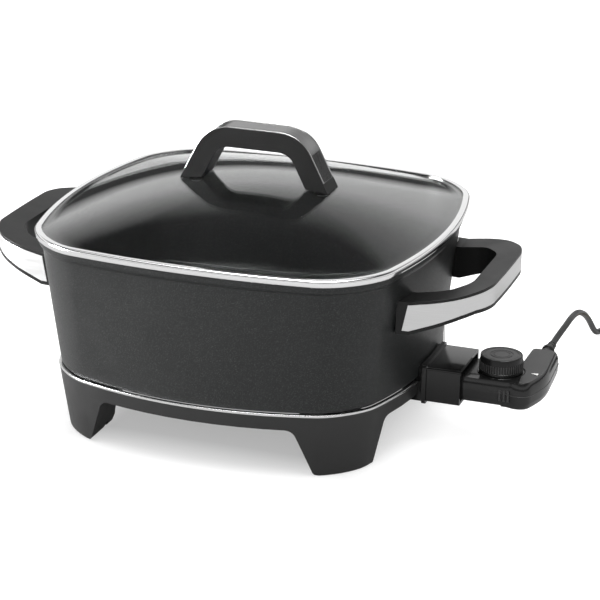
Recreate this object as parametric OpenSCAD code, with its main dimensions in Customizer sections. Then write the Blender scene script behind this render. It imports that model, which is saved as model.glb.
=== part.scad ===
/* [Overall] */
// Width of the lid over its steel band, side to side
lid_w = 304; // [255:1:365]
// Depth of the lid over its steel band, front to back
lid_d = 300; // [250:1:360]
// Height of the top face of the lid band above the table
rim_h = 159.6; // [140:0.1:195]
// Height of the seam between the pan and its base
seam_h = 50; // [46:0.5:60]
// How far each side leans in from the lid band to the seam
wall_lean = 10.5; // [6:0.5:16]
// How far each side leans in from the seam to the feet
foot_lean = 8; // [4:0.5:12]
// Corner radius of the outline at the lid band
rim_corner = 44; // [34:1:60]
// Corner radius of the outline at the seam
seam_corner = 31; // [26:1:44]
// Corner radius of the outline at the feet
foot_corner = 28; // [22:0.5:36]
// Bulge of the left and right sides at the lid band
rim_bow_sides = 23; // [10:1:28]
// Bulge of the front and back sides at the lid band
rim_bow_fronts = 13; // [8:1:28]
// Bulge of all four sides at the seam
seam_bow = 25; // [10:1:28]
// Bulge of all four sides at the foot
foot_bow = 22.5; // [10:0.5:28]

/* [Pan] */
// Thickness of the cast side wall
wall_t = 3.2; // [2.5:0.1:4.5]
// Thickness of the cast floor
floor_t = 5; // [4:0.5:7]
// How far the wall steps in under the lid band, each side
rim_step = 3.2; // [2.4:0.1:4]
// Height of the flared rim that the lid sits on
rim_lip_h = 7; // [5:0.5:10]
// Gap between the lid band and the rim
lid_gap = 0.4; // [0.3:0.05:0.8]

/* [Heater] */
// Outside diameter of the sheathed heating tube
heater_d = 8; // [6:0.5:9]
// Radius of the heating loop under the floor
heater_loop_r = 82; // [70:1:90]
// Radius of the elbows that lead the heating tube out
heater_elbow_r = 12; // [10:1:14]
// Distance between the two terminal pins
pin_spacing = 26; // [25:0.5:28]
// Diameter of each terminal pin
pin_d = 5; // [4:0.5:6]
// How far the terminal pins reach past the guard's back wall
pin_reach = 18; // [14:1:20]
// Width of the probe well under the pan
well_w = 12; // [10.5:0.5:14]

/* [Base] */
// Wall thickness of the base skirt
skirt_t = 3; // [2.4:0.2:4]
// Height of the skirt between the legs
skirt_h = 11; // [9:0.5:14]
// How far a leg reaches in from its outer faces
leg_t = 28; // [20:0.5:32]
// Distance from the outline's middle to the inner edge of a leg in front, at the skirt
leg_inner_top = 75; // [66:1:84]
// The same distance at the foot
leg_inner_foot = 89; // [80:1:95]
// Distance from the outline's middle to the inner edge of a leg at the side, at the skirt
side_leg_top = 75; // [66:1:84]
// The same distance at the foot
side_leg_foot = 79; // [72:1:92]
// Wall thickness of the hollow legs
leg_shell = 3.2; // [2.6:0.2:4]
// Height of the bright trim line at the seam
trim_h = 2; // [1.4:0.1:3]
// Outside diameter of the bosses that the base screws into
boss_d = 10; // [8:0.5:12]
// Distance of each base screw in from the outline's half width
boss_inset = 49; // [46:1:54]

/* [Side handles] */
// How far a side handle reaches past the lid band
handle_reach = 46.8; // [40:0.2:58]
// Half width of a side handle where its arms meet the pan
handle_half_w = 80; // [74:1:86]
// Width of each handle arm at the pan
arm_w = 23; // [18:0.5:26]
// Width of the grip bar
grip_w = 18.5; // [15:0.5:22]
// Height of the handle's top face at the pan wall, below the lid band's top
handle_drop = 29.6; // [26:0.1:40]
// How far the grip rises above the arm's root
grip_rise = 9; // [4:0.5:12]
// Height of a handle arm at the pan wall
arm_h = 25; // [22:0.5:30]
// Height of the grip bar
grip_h = 18.4; // [15:0.2:22]
// Thickness of the steel inlay on a handle
inlay_t = 1; // [0.6:0.1:1.4]

/* [Lid] */
// Thickness of the tempered glass
glass_t = 3.5; // [3:0.5:5]
// Height of the glass dome above its rim
dome_h = 26.5; // [20:0.5:36]
// Width of the rolled steel band, seen from above
band_w = 4.6; // [4:0.1:6]
// Sheet thickness of the rolled steel band
band_t = 0.6; // [0.5:0.1:0.8]
// Distance between the two screws of the lid handle
lid_screw_spacing = 101.5; // [84:0.5:122]
// Thickness of the arched handle, in the plane of its arch
arch_t = 15; // [12:0.5:18]
// Width of the arched handle
arch_w = 24; // [20:1:32]
// Height of the arched handle above the middle of the glass
arch_h = 39.2; // [34:0.1:48]
// Lean of the arch's legs from upright, in degrees
leg_lean = 27.3; // [20:0.1:32]

/* [Terminal guard] */
// How far the guard reaches out from the seam line
guard_l = 30; // [26:0.5:36]
// Wall thickness of the guard
guard_t = 2.4; // [2:0.1:3]

/* [Controller] */
// Width of the controller's neck
neck_w = 44; // [42:0.5:46]
// How far the controller reaches past the guard's mouth
ctrl_reach = 59.5; // [56:0.5:66]
// Width of the arm that carries the cord
arm_x = 26; // [24:0.5:30]
// How far the arm reaches back, from the dial's axis
arm_y = 58; // [52:1:64]
// Height of the controller's top plate above the terminal axis
ctrl_up = 9; // [8.5:0.5:11]
// Depth of the controller below the terminal axis
ctrl_down = 12; // [11:0.5:13]
// Wall thickness of the controller's shells
shell_t = 2; // [1.6:0.1:2.4]
// Diameter of the temperature dial
dial_d = 33.5; // [28:0.5:34]
// Height of the temperature dial
dial_h = 12.5; // [9:0.5:15]
// Number of grip ribs round the dial
dial_ribs = 60; // [36:4:72]
// Diameter of the dial's shaft
shaft_d = 6; // [5:0.5:7]
// Length of the sensor rod past the controller's nose
rod_l = 70; // [50:1:80]
// Diameter of the sensor rod
rod_d = 6; // [5:0.5:7]

/* [Cord] */
// Diameter of the cord
cord_d = 5; // [4.5:0.5:6]
// Length of the strain relief
relief_l = 24; // [20:1:30]
// Width across the blades' outer faces of the plug
plug_w = 24; // [22:1:28]
// Thickness of the plug's body
plug_t = 15; // [13:1:18]
// Length of the plug's body
plug_l = 28; // [24:1:34]

/* [Hidden] */
$fn = 48;

// Small allowances shared by several pieces
seat_gap = 0.3;       // between parts that sit on each other but are not glued
screw_gap = 0.05;     // round a screw's thread in its boss
hole_gap = 0.3;       // round a screw where it passes through
over = 1;             // how far a cutting shape runs past what it cuts
screw_d = 4;
screw_head_d = 8;
screw_head_h = 2.4;
small_screw_d = 3;
small_head_d = 5.6;
small_head_h = 1.8;

// Overall outline: three measured sections, each [half width, half depth, corner, bow x, bow y]
rim_section = [lid_w / 2, lid_d / 2, rim_corner, rim_bow_sides, rim_bow_fronts];
seam_section = [lid_w / 2 - wall_lean, lid_d / 2 - wall_lean, seam_corner, seam_bow, seam_bow];
foot_section = [seam_section[0] - foot_lean, seam_section[1] - foot_lean, foot_corner,
    foot_bow, foot_bow];
side_points = 5;      // points on half a side
corner_points = 8;    // points round a corner

// Room for the neck inside the guard: at each side, above and below
neck_side_gap = 2.1;
neck_up_gap = 3.6;
neck_down_gap = 1.1;
neck_step_up = 1;     // the neck is this much lower than the arm on top
neck_step_down = 1.5; // and this much higher underneath
guard_w = neck_w + 2 * (guard_t + neck_side_gap);
fold_gap = 0.15;      // between the glass and the band folded round it
band_h = glass_t + 2 * band_t + 3 * fold_gap + 0.05;

// Heights
floor_under = seam_h + 1.5;
floor_top = floor_under + floor_t;
band_top = rim_h;
band_bottom = rim_h - band_h;
pan_top = band_bottom - lid_gap;
terminal_z = floor_under - heater_d / 2;
skirt_top = seam_h - trim_h / 2;
skirt_bottom = skirt_top - skirt_h;
glass_edge_bottom = band_bottom + band_t + fold_gap;
glass_edge_top = glass_edge_bottom + glass_t;

// Sideways places: the pan's middle sits off the origin, so that the whole object is centred on it
seam_x = seam_section[0];
guard_back = seam_x + 1;
guard_mouth = guard_back + guard_l - 1;
ctrl_end = guard_mouth + ctrl_reach;
handle_end = lid_w / 2 + handle_reach;
pan_x = -(ctrl_end - handle_end) / 2;

module placed() translate([pan_x, 0, 0]) children();

// ---- Outline helpers ----
function mix(a, b, t) = a * (1 - t) + b * t;
function section(z) = z > seam_h
    ? mix(seam_section, rim_section, (z - seam_h) / (rim_h - seam_h))
    : mix(foot_section, seam_section, max(z, 0) / seam_h);
function turned(p, quarter) = quarter == 0 ? p : turned([-p.y, p.x], quarter - 1);
// One quarter of a rounded rectangle, from the middle of one side to just short of the next
function quarter(hx, hy, r) = concat(
    [for (i = [0:side_points - 1]) [hx, (hy - r) * i / side_points]],
    [for (i = [0:corner_points - 1]) let (a = 90 * i / corner_points)
        [hx - r + r * cos(a), hy - r + r * sin(a)]],
    [for (i = [0:side_points - 1]) [(hx - r) * (1 - i / side_points), hy]]);
// Even quarters swap width and depth as they turn
function rounded_rect(hx, hy, r) = [for (q = [0:3])
    each [for (p = q % 2 == 0 ? quarter(hx, hy, r) : quarter(hy, hx, r)) turned(p, q)]];
function bowed(p, s) = [
    p.x * (1 - s[3] / s[0] * pow(p.y / s[1], 2)),
    p.y * (1 - s[4] / s[1] * pow(p.x / s[0], 2))];
function grown(s, d) = [s[0] + d, s[1] + d, max(s[2] + d, 6), s[3], s[4]];
function ring(s, z) = [for (p = rounded_rect(s[0], s[1], s[2])) let (b = bowed(p, s)) [b.x, b.y, z]];
// A ring at height z, set in from the outline by d
function wall_ring(d, z) = ring(grown(section(z), -d), z);
// How far out the right side lies at depth y and height z, set in by d
function side_x(y, z, d) = let (s = grown(section(z), -d)) s[0] - s[3] * pow(y / s[1], 2);

// A solid skinned over rings: closed at both ends, or joined end to end as a loop. Ends that are
// hollowed in plan are closed round a hub, a point that sees the whole ring.
module skinned(rings, loop = false, hub = []) {
    n = len(rings[0]);
    m = len(rings);
    spans = loop ? m : m - 1;
    sides = [for (j = [0:spans - 1]) for (i = [0:n - 1])
        let (a = j * n, b = ((j + 1) % m) * n, k = (i + 1) % n)
        each [[a + i, b + i, b + k], [a + i, b + k, a + k]]];
    hubs = len(hub) == 0 ? [] : [for (r = [rings[0], rings[m - 1]]) [hub.x, hub.y, r[0].z]];
    flat_ends = [[for (i = [0:n - 1]) i], [for (i = [n - 1:-1:0]) (m - 1) * n + i]];
    hub_ends = [for (i = [0:n - 1]) let (k = (i + 1) % n, e = (m - 1) * n)
        each [[m * n, i, k], [m * n + 1, e + k, e + i]]];
    caps = loop ? [] : len(hub) == 0 ? flat_ends : hub_ends;
    polyhedron(concat([for (r = rings) each r], hubs), concat(sides, caps), convexity = 10);
}
// A polygon's corners softened; each point is [x, y, how far the curve starts from the corner]
function toward(a, b, d) = a + (b - a) * d / norm(b - a);
function soft(points, steps = 6) = [for (i = [0:len(points) - 1])
    let (n = len(points), p = points[i], c = [p.x, p.y], q = points[(i + n - 1) % n],
         r = points[(i + 1) % n])
    each p[2] == 0 ? [c] : let (a = toward(c, [q.x, q.y], p[2]), b = toward(c, [r.x, r.y], p[2]))
        [for (k = [0:steps]) let (t = k / steps)
            a * pow(1 - t, 2) + c * 2 * t * (1 - t) + b * pow(t, 2)]];
// A tube of the given number of sides, swept along a route
function unit(v) = v / norm(v);
function tangent(p, i) = unit(p[min(i + 1, len(p) - 1)] - p[max(i - 1, 0)]);
function cross_ring(p, i, r, sides) = let (t = tangent(p, i), u = unit(cross(t, [0, 0, 1])),
    v = cross(u, t)) [for (k = [0:sides - 1]) let (a = 360 * (k + 0.5) / sides)
        p[i] + r * (u * cos(a) + v * sin(a))];
module tube(p, r, sides) skinned([for (i = [len(p) - 1:-1:0]) cross_ring(p, i, r, sides)]);
// Cylinder along +X from x0 to x1
module rod_x(x0, x1, y, z, d) translate([x0, y, z]) rotate([0, 90, 0]) cylinder(d = d, h = x1 - x0);
module ring_x(x0, x1, y, z, d, bore) difference() {
    rod_x(x0, x1, y, z, d);
    rod_x(x0 - over, x1 + over, y, z, bore);
}
// Box between two corners
module block(a, b) translate(a) cube(b - a);
// Upright screw with its head at the bottom
module screw_up(x, y, z, shank, d = screw_d, head_d = screw_head_d, head_h = screw_head_h)
    translate([x, y, z]) difference() {
        union() {
            cylinder(d = d, h = shank);
            translate([0, 0, -head_h]) cylinder(d = head_d, h = head_h);
        }
        for (a = [0, 90]) translate([0, 0, -head_h]) rotate(a)
            cube([head_d * 0.6, 1, head_h], center = true);
    }

// ---- Pan ----
boss_x = lid_w / 2 - boss_inset - wall_lean;
boss_y = lid_d / 2 - boss_inset - wall_lean;
boss_bottom = terminal_z - 2.7;
guard_boss_x = seam_x - 20;
guard_boss_y = pin_spacing / 2 + heater_d / 2 + 5.5;
guard_tab_half = guard_boss_y + screw_head_d / 2;
module corners() for (sx = [-1, 1], sy = [-1, 1]) translate([sx * boss_x, sy * boss_y, 0]) children();
module pan_outer(d = 0) skinned([
    wall_ring(8 - d, floor_under - d), wall_ring(2.6 - d, floor_under + 0.5 - d),
    wall_ring(1.6 - d, floor_under + 2.5),
    wall_ring(rim_step - d, pan_top - rim_lip_h),
    wall_ring(1.3 - d, pan_top - rim_lip_h + 2), wall_ring(0.8 - d, pan_top - rim_lip_h + 3.6),
    wall_ring(0.8 - d, pan_top - 1), wall_ring(1.6 - d, pan_top + d)]);
module pan_inner() skinned([
    wall_ring(wall_t + 14, floor_top), wall_ring(wall_t + 5, floor_top + 2.4),
    wall_ring(wall_t + 2, floor_top + 10),
    wall_ring(rim_step + wall_t, pan_top - rim_lip_h),
    wall_ring(4.4, pan_top - 1), wall_ring(3.6, pan_top + over)]);
// The lug inside each handle arm
lug_w = 10;
lug_h = 12;
lug_y = handle_half_w - arm_w / 2;
lug_z = rim_h - handle_drop - arm_h / 2 - lug_h / 2;
lug_x = side_x(lug_y + lug_w / 2, lug_z, rim_step + wall_t);
lug_end = seam_x + 14;
handle_screw_x = seam_x + 8;
handle_web = 2.2;     // from a screw's seat up to the lug
module lugs(grow = 0) for (sx = [-1, 1], sy = [-1, 1]) scale([sx, sy, 1])
    block([lug_x, lug_y - lug_w / 2 - grow, lug_z - grow],
          [lug_end + grow, lug_y + lug_w / 2 + grow, lug_z + lug_h + grow]);
module handle_screw_places() for (sx = [-1, 1], sy = [-1, 1])
    translate([sx * handle_screw_x, sy * lug_y, 0]) children();
module guard_screw_places() for (sy = [-1, 1])
    translate([guard_boss_x, sy * guard_boss_y, 0]) children();
module pan() color([0.2, 0.21, 0.21]) placed() difference() {
    union() {
        difference() {
            union() {
                pan_outer();
                lugs();
            }
            pan_inner();
        }
        corners() translate([0, 0, boss_bottom]) cylinder(d = boss_d, h = floor_under + 1 - boss_bottom);
        guard_screw_places() translate([0, 0, boss_bottom])
            cylinder(d = boss_d, h = floor_under + 1 - boss_bottom);
    }
    corners() translate([0, 0, boss_bottom - over])
        cylinder(d = screw_d + 2 * screw_gap, h = floor_under - boss_bottom + over + 2);
    guard_screw_places() translate([0, 0, boss_bottom - over])
        cylinder(d = screw_d + 2 * screw_gap, h = floor_under - boss_bottom + over + 2);
    handle_screw_places() translate([0, 0, lug_z - over])
        cylinder(d = screw_d + 2 * screw_gap, h = lug_h);
}

// ---- Heater ----
elbow_y = pin_spacing / 2 + heater_elbow_r;
elbow_x = sqrt(pow(heater_loop_r + heater_elbow_r, 2) - pow(elbow_y, 2));
elbow_angle = atan2(elbow_y, elbow_x);
heater_end = seam_x - 8;
heater_sides = 20;
elbow_steps = 6;
loop_steps = 54;
// One leg and its elbow, on the +Y side, from the terminal in to the loop
heater_leg = concat([[heater_end, pin_spacing / 2, 0]],
    [for (i = [0:elbow_steps - 1]) let (a = 270 - (90 - elbow_angle) * i / elbow_steps)
        [elbow_x + heater_elbow_r * cos(a), elbow_y + heater_elbow_r * sin(a), 0]]);
heater_route = concat(heater_leg,
    [for (i = [0:loop_steps]) let (a = elbow_angle + (360 - 2 * elbow_angle) * i / loop_steps)
        [heater_loop_r * cos(a), heater_loop_r * sin(a), 0]],
    [for (i = [elbow_steps:-1:0]) [heater_leg[i].x, -heater_leg[i].y, 0]]);
module heating_element() color([0.6, 0.6, 0.58]) placed() translate([0, 0, terminal_z - seat_gap])
    tube(heater_route, heater_d / 2, heater_sides);
module terminal_pins() color([0.8, 0.78, 0.7]) placed() for (s = [-1, 1])
    rod_x(heater_end, guard_back + pin_reach, s * pin_spacing / 2, terminal_z - seat_gap, pin_d);
module pin_insulators() color([0.9, 0.88, 0.82]) placed() for (s = [-1, 1])
    ring_x(heater_end, guard_back - seat_gap, s * pin_spacing / 2, terminal_z - seat_gap,
        heater_d, pin_d + 2 * screw_gap);
rod_gap = 0.3;        // round the sensor rod in its well
well_end = seam_x - 4;
rod_tip = guard_back + 6 - rod_l;
module probe_well() color([0.55, 0.56, 0.57]) placed() difference() {
    block([rod_tip - 6, -well_w / 2, terminal_z - seat_gap - rod_d / 2 - 2.4],
          [well_end, well_w / 2, floor_under]);
    rod_x(rod_tip - 2, well_end + over, 0, terminal_z - seat_gap, rod_d + 2 * rod_gap);
}

// ---- Base ----
leg_soft = 6;         // how far the fillet between leg and skirt runs
arch_drop = 8;        // how far the cutting shapes run below the feet
// The cut between two legs, from foot to top half wide, grown by d at its sides
module arch_cut(reach, foot, top, d = 0) rotate([90, 0, 0]) linear_extrude(2 * reach, center = true)
    polygon(soft([
        [-foot - d - arch_drop * 0.3, -arch_drop, 0], [-foot - d, 0, 1.5],
        [-top - d, skirt_bottom + d, leg_soft], [top + d, skirt_bottom + d, leg_soft],
        [foot + d, 0, 1.5], [foot + d + arch_drop * 0.3, -arch_drop, 0]]));
module arch_cuts(d = 0) {
    arch_cut(lid_d, leg_inner_foot, leg_inner_top, d);
    rotate(90) arch_cut(lid_w, side_leg_foot, side_leg_top, d);
}
// The hollow inside each leg, open at its top, with a driver's way up to the screw
driver_d = 11;
module leg_cores() difference() {
    skinned([wall_ring(leg_shell + 0.8, leg_shell), wall_ring(leg_shell, skirt_bottom + over)]);
    skinned([wall_ring(leg_t - leg_shell, 0), wall_ring(leg_t - leg_shell, skirt_bottom + 2 * over)]);
    arch_cuts(leg_shell);
}
tab_top = boss_bottom - seat_gap;
tab_t = 4;
guard_way = max(guard_w / 2, guard_tab_half) + 0.5; // half width of the way for the guard
module base_outer() skinned([wall_ring(1.2, 0), wall_ring(0, 1.4), wall_ring(-0.3, skirt_bottom),
    wall_ring(-0.3, skirt_top)]);
module base_frame() color([0.12, 0.12, 0.13]) placed() difference() {
    union() {
        difference() {
            base_outer();
            skinned([wall_ring(leg_t, -over), wall_ring(leg_t, skirt_bottom)]);
            skinned([wall_ring(skirt_t, skirt_bottom - 0.01), wall_ring(skirt_t, skirt_top + over)]);
            leg_cores();
            corners() translate([0, 0, -over]) cylinder(d = driver_d, h = skirt_bottom);
        }
        // Tabs in the corners, under the pan's bosses
        intersection() {
            base_outer();
            for (sx = [-1, 1], sy = [-1, 1]) scale([sx, sy, 1])
                block([boss_x - 7, boss_y - 7, tab_top - tab_t],
                      [lid_w / 2, lid_d / 2, tab_top]);
        }
    }
    arch_cuts();
    corners() translate([0, 0, tab_top - tab_t - over])
        cylinder(d = screw_d + 2 * hole_gap, h = tab_t + 2 * over);
    // The way through for the guard
    block([0, -guard_way, 0], [lid_w, guard_way, seam_h]);
}
module base_screws() color([0.75, 0.75, 0.76]) placed() corners()
    screw_up(0, 0, tab_top - tab_t, tab_t + floor_under - boss_bottom);
module seam_trim() color([0.85, 0.85, 0.86]) placed() difference() {
    skinned([
        wall_ring(-0.2, skirt_top), wall_ring(-0.7, skirt_top + 0.4),
        wall_ring(-0.7, skirt_top + trim_h - 0.4), wall_ring(-0.2, skirt_top + trim_h),
        wall_ring(2.6, skirt_top + trim_h), wall_ring(2.6, skirt_top)], loop = true);
    block([0, -guard_way, 0], [lid_w, guard_way, seam_h + over * 2]);
}

// ---- Side handles ----
handle_top = rim_h - handle_drop;
wall_seat = 0.2;      // gap between a handle arm and the wall
root_x = side_x(handle_half_w, handle_top - arm_h, rim_step);
inner_x = handle_end - grip_w;
// Outer edge on the +Y side, from the arm's root to the grip's middle, set in by d
function handle_edge(d) = [
    [root_x, handle_half_w + 0.4 - d, 0],
    [handle_end - 33.8 - d * 0.2, handle_half_w - 2.5 - d, 7],
    [handle_end - 17.8 - d * 0.5, handle_half_w - 9.5 - d * 0.9, 8],
    [handle_end - 5.8 - d * 0.9, handle_half_w - 24.5 - d * 0.5, 6],
    [handle_end - 1 - d, handle_half_w - 38 - d * 0.2, 6]];
function handle_outline(d) = let (e = handle_edge(d)) soft(concat(
    [for (p = e) [p.x, -p.y, p[2]]], [[handle_end - d, 0, 30]],
    [for (i = [len(e) - 1:-1:0]) e[i]]));
hole_half = handle_half_w - arm_w;
module handle_hole() linear_extrude(rim_h) polygon(soft([
    [root_x - over, -hole_half, 0], [inner_x - 13, -hole_half + 3, 8],
    [inner_x, -hole_half + 21, 8],
    [inner_x, hole_half - 21, 8], [inner_x - 13, hole_half - 3, 8],
    [root_x - over, hole_half, 0]]));
// Side view of the handle: its ends at the wall at x0 above and x1 below, its margins m0 and m1
module handle_side(x0, x1, m0, m1) rotate([90, 0, 0])
    linear_extrude(2 * handle_half_w + 10, center = true) polygon([
        [x1, handle_top - arm_h + m1], [x0, handle_top - m0],
        [seam_x + 4, handle_top - m0], [handle_end + over, handle_top + grip_rise - m0],
        [handle_end + over, handle_top + grip_rise - grip_h + m1],
        [handle_end - 9, handle_top + grip_rise - grip_h + m1],
        [handle_end - 18, handle_top + grip_rise - grip_h - 2.4 + m1],
        [seam_x + 4, handle_top - arm_h + m1]]);
inlay_top = 2.2;      // black edge left above and below an inlay
inlay_bottom = 2.8;
inlay_slant = 4;      // how far the inlay's end leans over its height
inlay_gap = 0.05;
// The region of a handle that its inlay takes up, grown by d
module inlay_space(d) intersection() {
    difference() {
        linear_extrude(rim_h) polygon(handle_outline(-over));
        linear_extrude(rim_h) polygon(handle_outline(inlay_t + d));
    }
    handle_side(seam_x + 2.9 - d, seam_x + 2.9 - inlay_slant - d, inlay_top - d,
        inlay_bottom - d);
}
module handle(side) color([0.1, 0.1, 0.11]) placed() difference() {
    scale([side, 1, 1]) difference() {
        intersection() {
            linear_extrude(rim_h) polygon(handle_outline(0));
            handle_side(root_x, root_x, 0, 0);
        }
        handle_hole();
        inlay_space(inlay_gap);
    }
    pan_outer(wall_seat);
    lugs(seat_gap);
    handle_screw_places() {
        cylinder(d = screw_d + 2 * hole_gap, h = lug_z + over);
        cylinder(d = screw_head_d + 1, h = lug_z - handle_web);
    }
}
module handle_right() handle(1);
module handle_left() handle(-1);
module handle_inlay(side) color([0.78, 0.78, 0.77]) placed() scale([side, 1, 1]) intersection() {
    inlay_space(0);
    linear_extrude(rim_h) polygon(handle_outline(0));
}
module handle_inlay_right() handle_inlay(1);
module handle_inlay_left() handle_inlay(-1);
module handle_screws() color([0.75, 0.75, 0.76]) placed() handle_screw_places()
    screw_up(0, 0, lug_z - handle_web, lug_h - 2);

// ---- Terminal guard ----
guard_top = terminal_z - seat_gap + ctrl_up - neck_step_up + guard_t + neck_up_gap;
guard_bottom = terminal_z - seat_gap - ctrl_down + neck_step_down - guard_t - neck_down_gap;
guard_h = guard_top - guard_bottom;
guard_tab_top = boss_bottom - seat_gap;
guard_tab_t = 3.6;
guard_reach = 6;      // how far the box's back runs on into the hollow under the pan's edge
module terminal_guard() color([0.05, 0.05, 0.055]) placed() difference() {
    union() {
        difference() {
            translate([guard_back, 0, (guard_top + guard_bottom) / 2]) rotate([90, 0, 90])
                linear_extrude(guard_mouth - guard_back) polygon(guard_shape(0));
            translate([guard_back + guard_t, 0, (guard_top + guard_bottom) / 2])
                rotate([90, 0, 90]) linear_extrude(guard_l + over) polygon(guard_shape(guard_t));
        }
        // Filling between the box's back and the pan's lower edge
        translate([guard_back - guard_reach, 0, (guard_top + guard_bottom) / 2])
            rotate([90, 0, 90]) linear_extrude(guard_reach + 1) polygon(guard_shape(0));
        // Collar against the pan wall
        translate([guard_back, 0, (guard_top + guard_bottom) / 2]) rotate([90, 0, 90])
            linear_extrude(3) polygon(guard_shape(-1.6));
        // Part that reaches under the pan, with its screw tab
        block([guard_back - 10, -guard_w / 2, guard_bottom],
              [guard_back + 1, guard_w / 2, guard_tab_top]);
        block([guard_boss_x - 8, -guard_tab_half, guard_tab_top - guard_tab_t],
              [guard_back - 7, guard_tab_half, guard_tab_top]);
    }
    block([guard_back - 10 - over, -guard_w / 2 + guard_t, guard_bottom - over],
          [guard_back - 0.5, guard_w / 2 - guard_t, guard_tab_top - guard_tab_t]);
    // Room for the heating tube's legs and for the probe well
    for (s = [-1, 1]) rod_x(guard_boss_x - 10, guard_back - seat_gap, s * pin_spacing / 2,
        terminal_z - seat_gap, heater_d + 1.4);
    block([guard_boss_x - 10, -well_w / 2 - 0.5, guard_bottom - over],
        [well_end + 0.5, well_w / 2 + 0.5, guard_top]);
    // Holes for the two pins and for the sensor rod
    for (s = [-1, 1]) rod_x(guard_boss_x, guard_mouth, s * pin_spacing / 2, terminal_z - seat_gap,
        pin_d + 2);
    rod_x(guard_boss_x, guard_mouth, 0, terminal_z - seat_gap, rod_d + 3);
    pan_outer(seat_gap);
    guard_screw_places() translate([0, 0, guard_bottom])
        cylinder(d = screw_d + 2 * hole_gap, h = guard_h);
}
function guard_shape(d) = let (y = guard_w / 2 - d, z = guard_h / 2 - d)
    soft([[-y, -z, 2], [y, -z, 2], [y, z, 3], [-y, z, 3]], 4);
module guard_screws() color([0.75, 0.75, 0.76]) placed() guard_screw_places()
    screw_up(0, 0, guard_tab_top - guard_tab_t, guard_tab_t + floor_under - boss_bottom);

// ---- Lid ----
glass_section = grown(rim_section, -band_t - fold_gap);
dome_flat = 0.965;    // share of the half width where the dome begins
dome_steps = 11;
// The glass outline at a share k of its size: squarish at the edge, oval in the middle
function glass_ring(k, z) = let (edge = ring(glass_section, z), n = len(edge))
    [for (i = [0:n - 1]) let (a = 360 * i / n, oval = [cos(a) * glass_section[0],
        sin(a) * glass_section[1]], p = mix(oval, [edge[i].x, edge[i].y], k * k))
        [k * p.x, k * p.y, z]];
function dome(k) = k > dome_flat ? 0 : dome_h * (1 - pow(k / dome_flat, 2));
dome_shares = [for (i = [0:dome_steps - 1]) dome_flat * (1 - i / dome_steps)];
module glass_solid() skinned([
    for (i = [dome_steps - 1:-1:0]) glass_ring(dome_shares[i], glass_edge_bottom + dome(dome_shares[i])),
    glass_ring(1, glass_edge_bottom), glass_ring(1, glass_edge_top),
    for (i = [0:dome_steps - 1]) glass_ring(dome_shares[i], glass_edge_top + dome(dome_shares[i]))]);
// Everything under the glass's top face raised by up, down to the rim
module below_glass(up) skinned([glass_ring(1, glass_edge_bottom), glass_ring(1, glass_edge_top + up),
    for (i = [0:dome_steps - 1]) glass_ring(dome_shares[i], glass_edge_top + up + dome(dome_shares[i]))]);
function glass_top(x) = glass_edge_top + dome(x / glass_section[0]);
module lid_screw_places() for (s = [-1, 1])
    translate([s * lid_screw_spacing / 2, 0, 0]) children();
lid_hole_d = screw_d + 2;
module lid_glass() color([0.75, 0.8, 0.8, 0.4]) placed() difference() {
    glass_solid();
    lid_screw_places() translate([0, 0, glass_edge_bottom]) cylinder(d = lid_hole_d, h = dome_h + 10);
}
module lid_band() color([0.85, 0.85, 0.85]) placed() skinned([
    ring(grown(rim_section, -0.5), band_bottom), ring(rim_section, band_bottom + 0.6),
    ring(rim_section, band_top - 0.8), ring(grown(rim_section, -0.7), band_top),
    ring(grown(rim_section, -band_w), band_top),
    ring(grown(rim_section, -band_w), glass_edge_top + fold_gap),
    ring(grown(rim_section, -band_t), glass_edge_top + fold_gap),
    ring(grown(rim_section, -band_t), glass_edge_bottom - fold_gap),
    ring(grown(rim_section, -band_w + 0.4), glass_edge_bottom - fold_gap),
    ring(grown(rim_section, -band_w + 0.4), band_bottom)], loop = true);

// Arched lid handle: two bends round [arch_flat, bend_z], with legs that lean out to the screws
gasket_t = 1;
arch_top = glass_edge_top + dome_h + arch_h;
bend_r = 28.5;
bend_z = arch_top - bend_r;
leg_out = [sin(leg_lean), -cos(leg_lean)];
foot_z = glass_top(lid_screw_spacing / 2);
// The flat top is as long as brings the legs down round the screws
leg_mid = bend_r - arch_t / 2;
arch_flat = lid_screw_spacing / 2 - leg_mid * cos(leg_lean)
    - (bend_z + leg_mid * sin(leg_lean) - foot_z) * tan(leg_lean);
// Half of the arch's outline at radius r, from the middle of its top down to the glass
function arch_half(r) = concat(
    [for (i = [0:8]) let (a = 90 - (90 - leg_lean) * i / 8)
        [arch_flat + r * cos(a), bend_z + r * sin(a)]],
    [let (p = [arch_flat + r * cos(leg_lean), bend_z + r * sin(leg_lean)],
          l = (p.y - foot_z + 6) / cos(leg_lean)) p + leg_out * l]);
function mirrored(points) = [for (i = [len(points) - 1:-1:0]) [-points[i].x, points[i].y]];
function arch_outline(r0, r1) = concat(mirrored(arch_half(r1)), arch_half(r1),
    [for (i = [len(arch_half(r0)) - 1:-1:0]) arch_half(r0)[i]],
    [for (p = arch_half(r0)) [-p.x, p.y]]);
strip_t = 1;
strip_edge = 1.6;     // rim of the handle on each side of its strip
strip_end = 7;        // how far above the foot the strip stops
insert_depth = 9;
module arch_solid(r0, r1, w) rotate([90, 0, 0]) linear_extrude(w, center = true)
    polygon(arch_outline(r0, r1));
module strip_space(d) difference() {
    arch_solid(bend_r - strip_t - d, bend_r + over, arch_w - 2 * strip_edge + 2 * d);
    block([-lid_w, -lid_d, 0], [lid_w, lid_d, foot_z + strip_end - d]);
}
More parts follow.
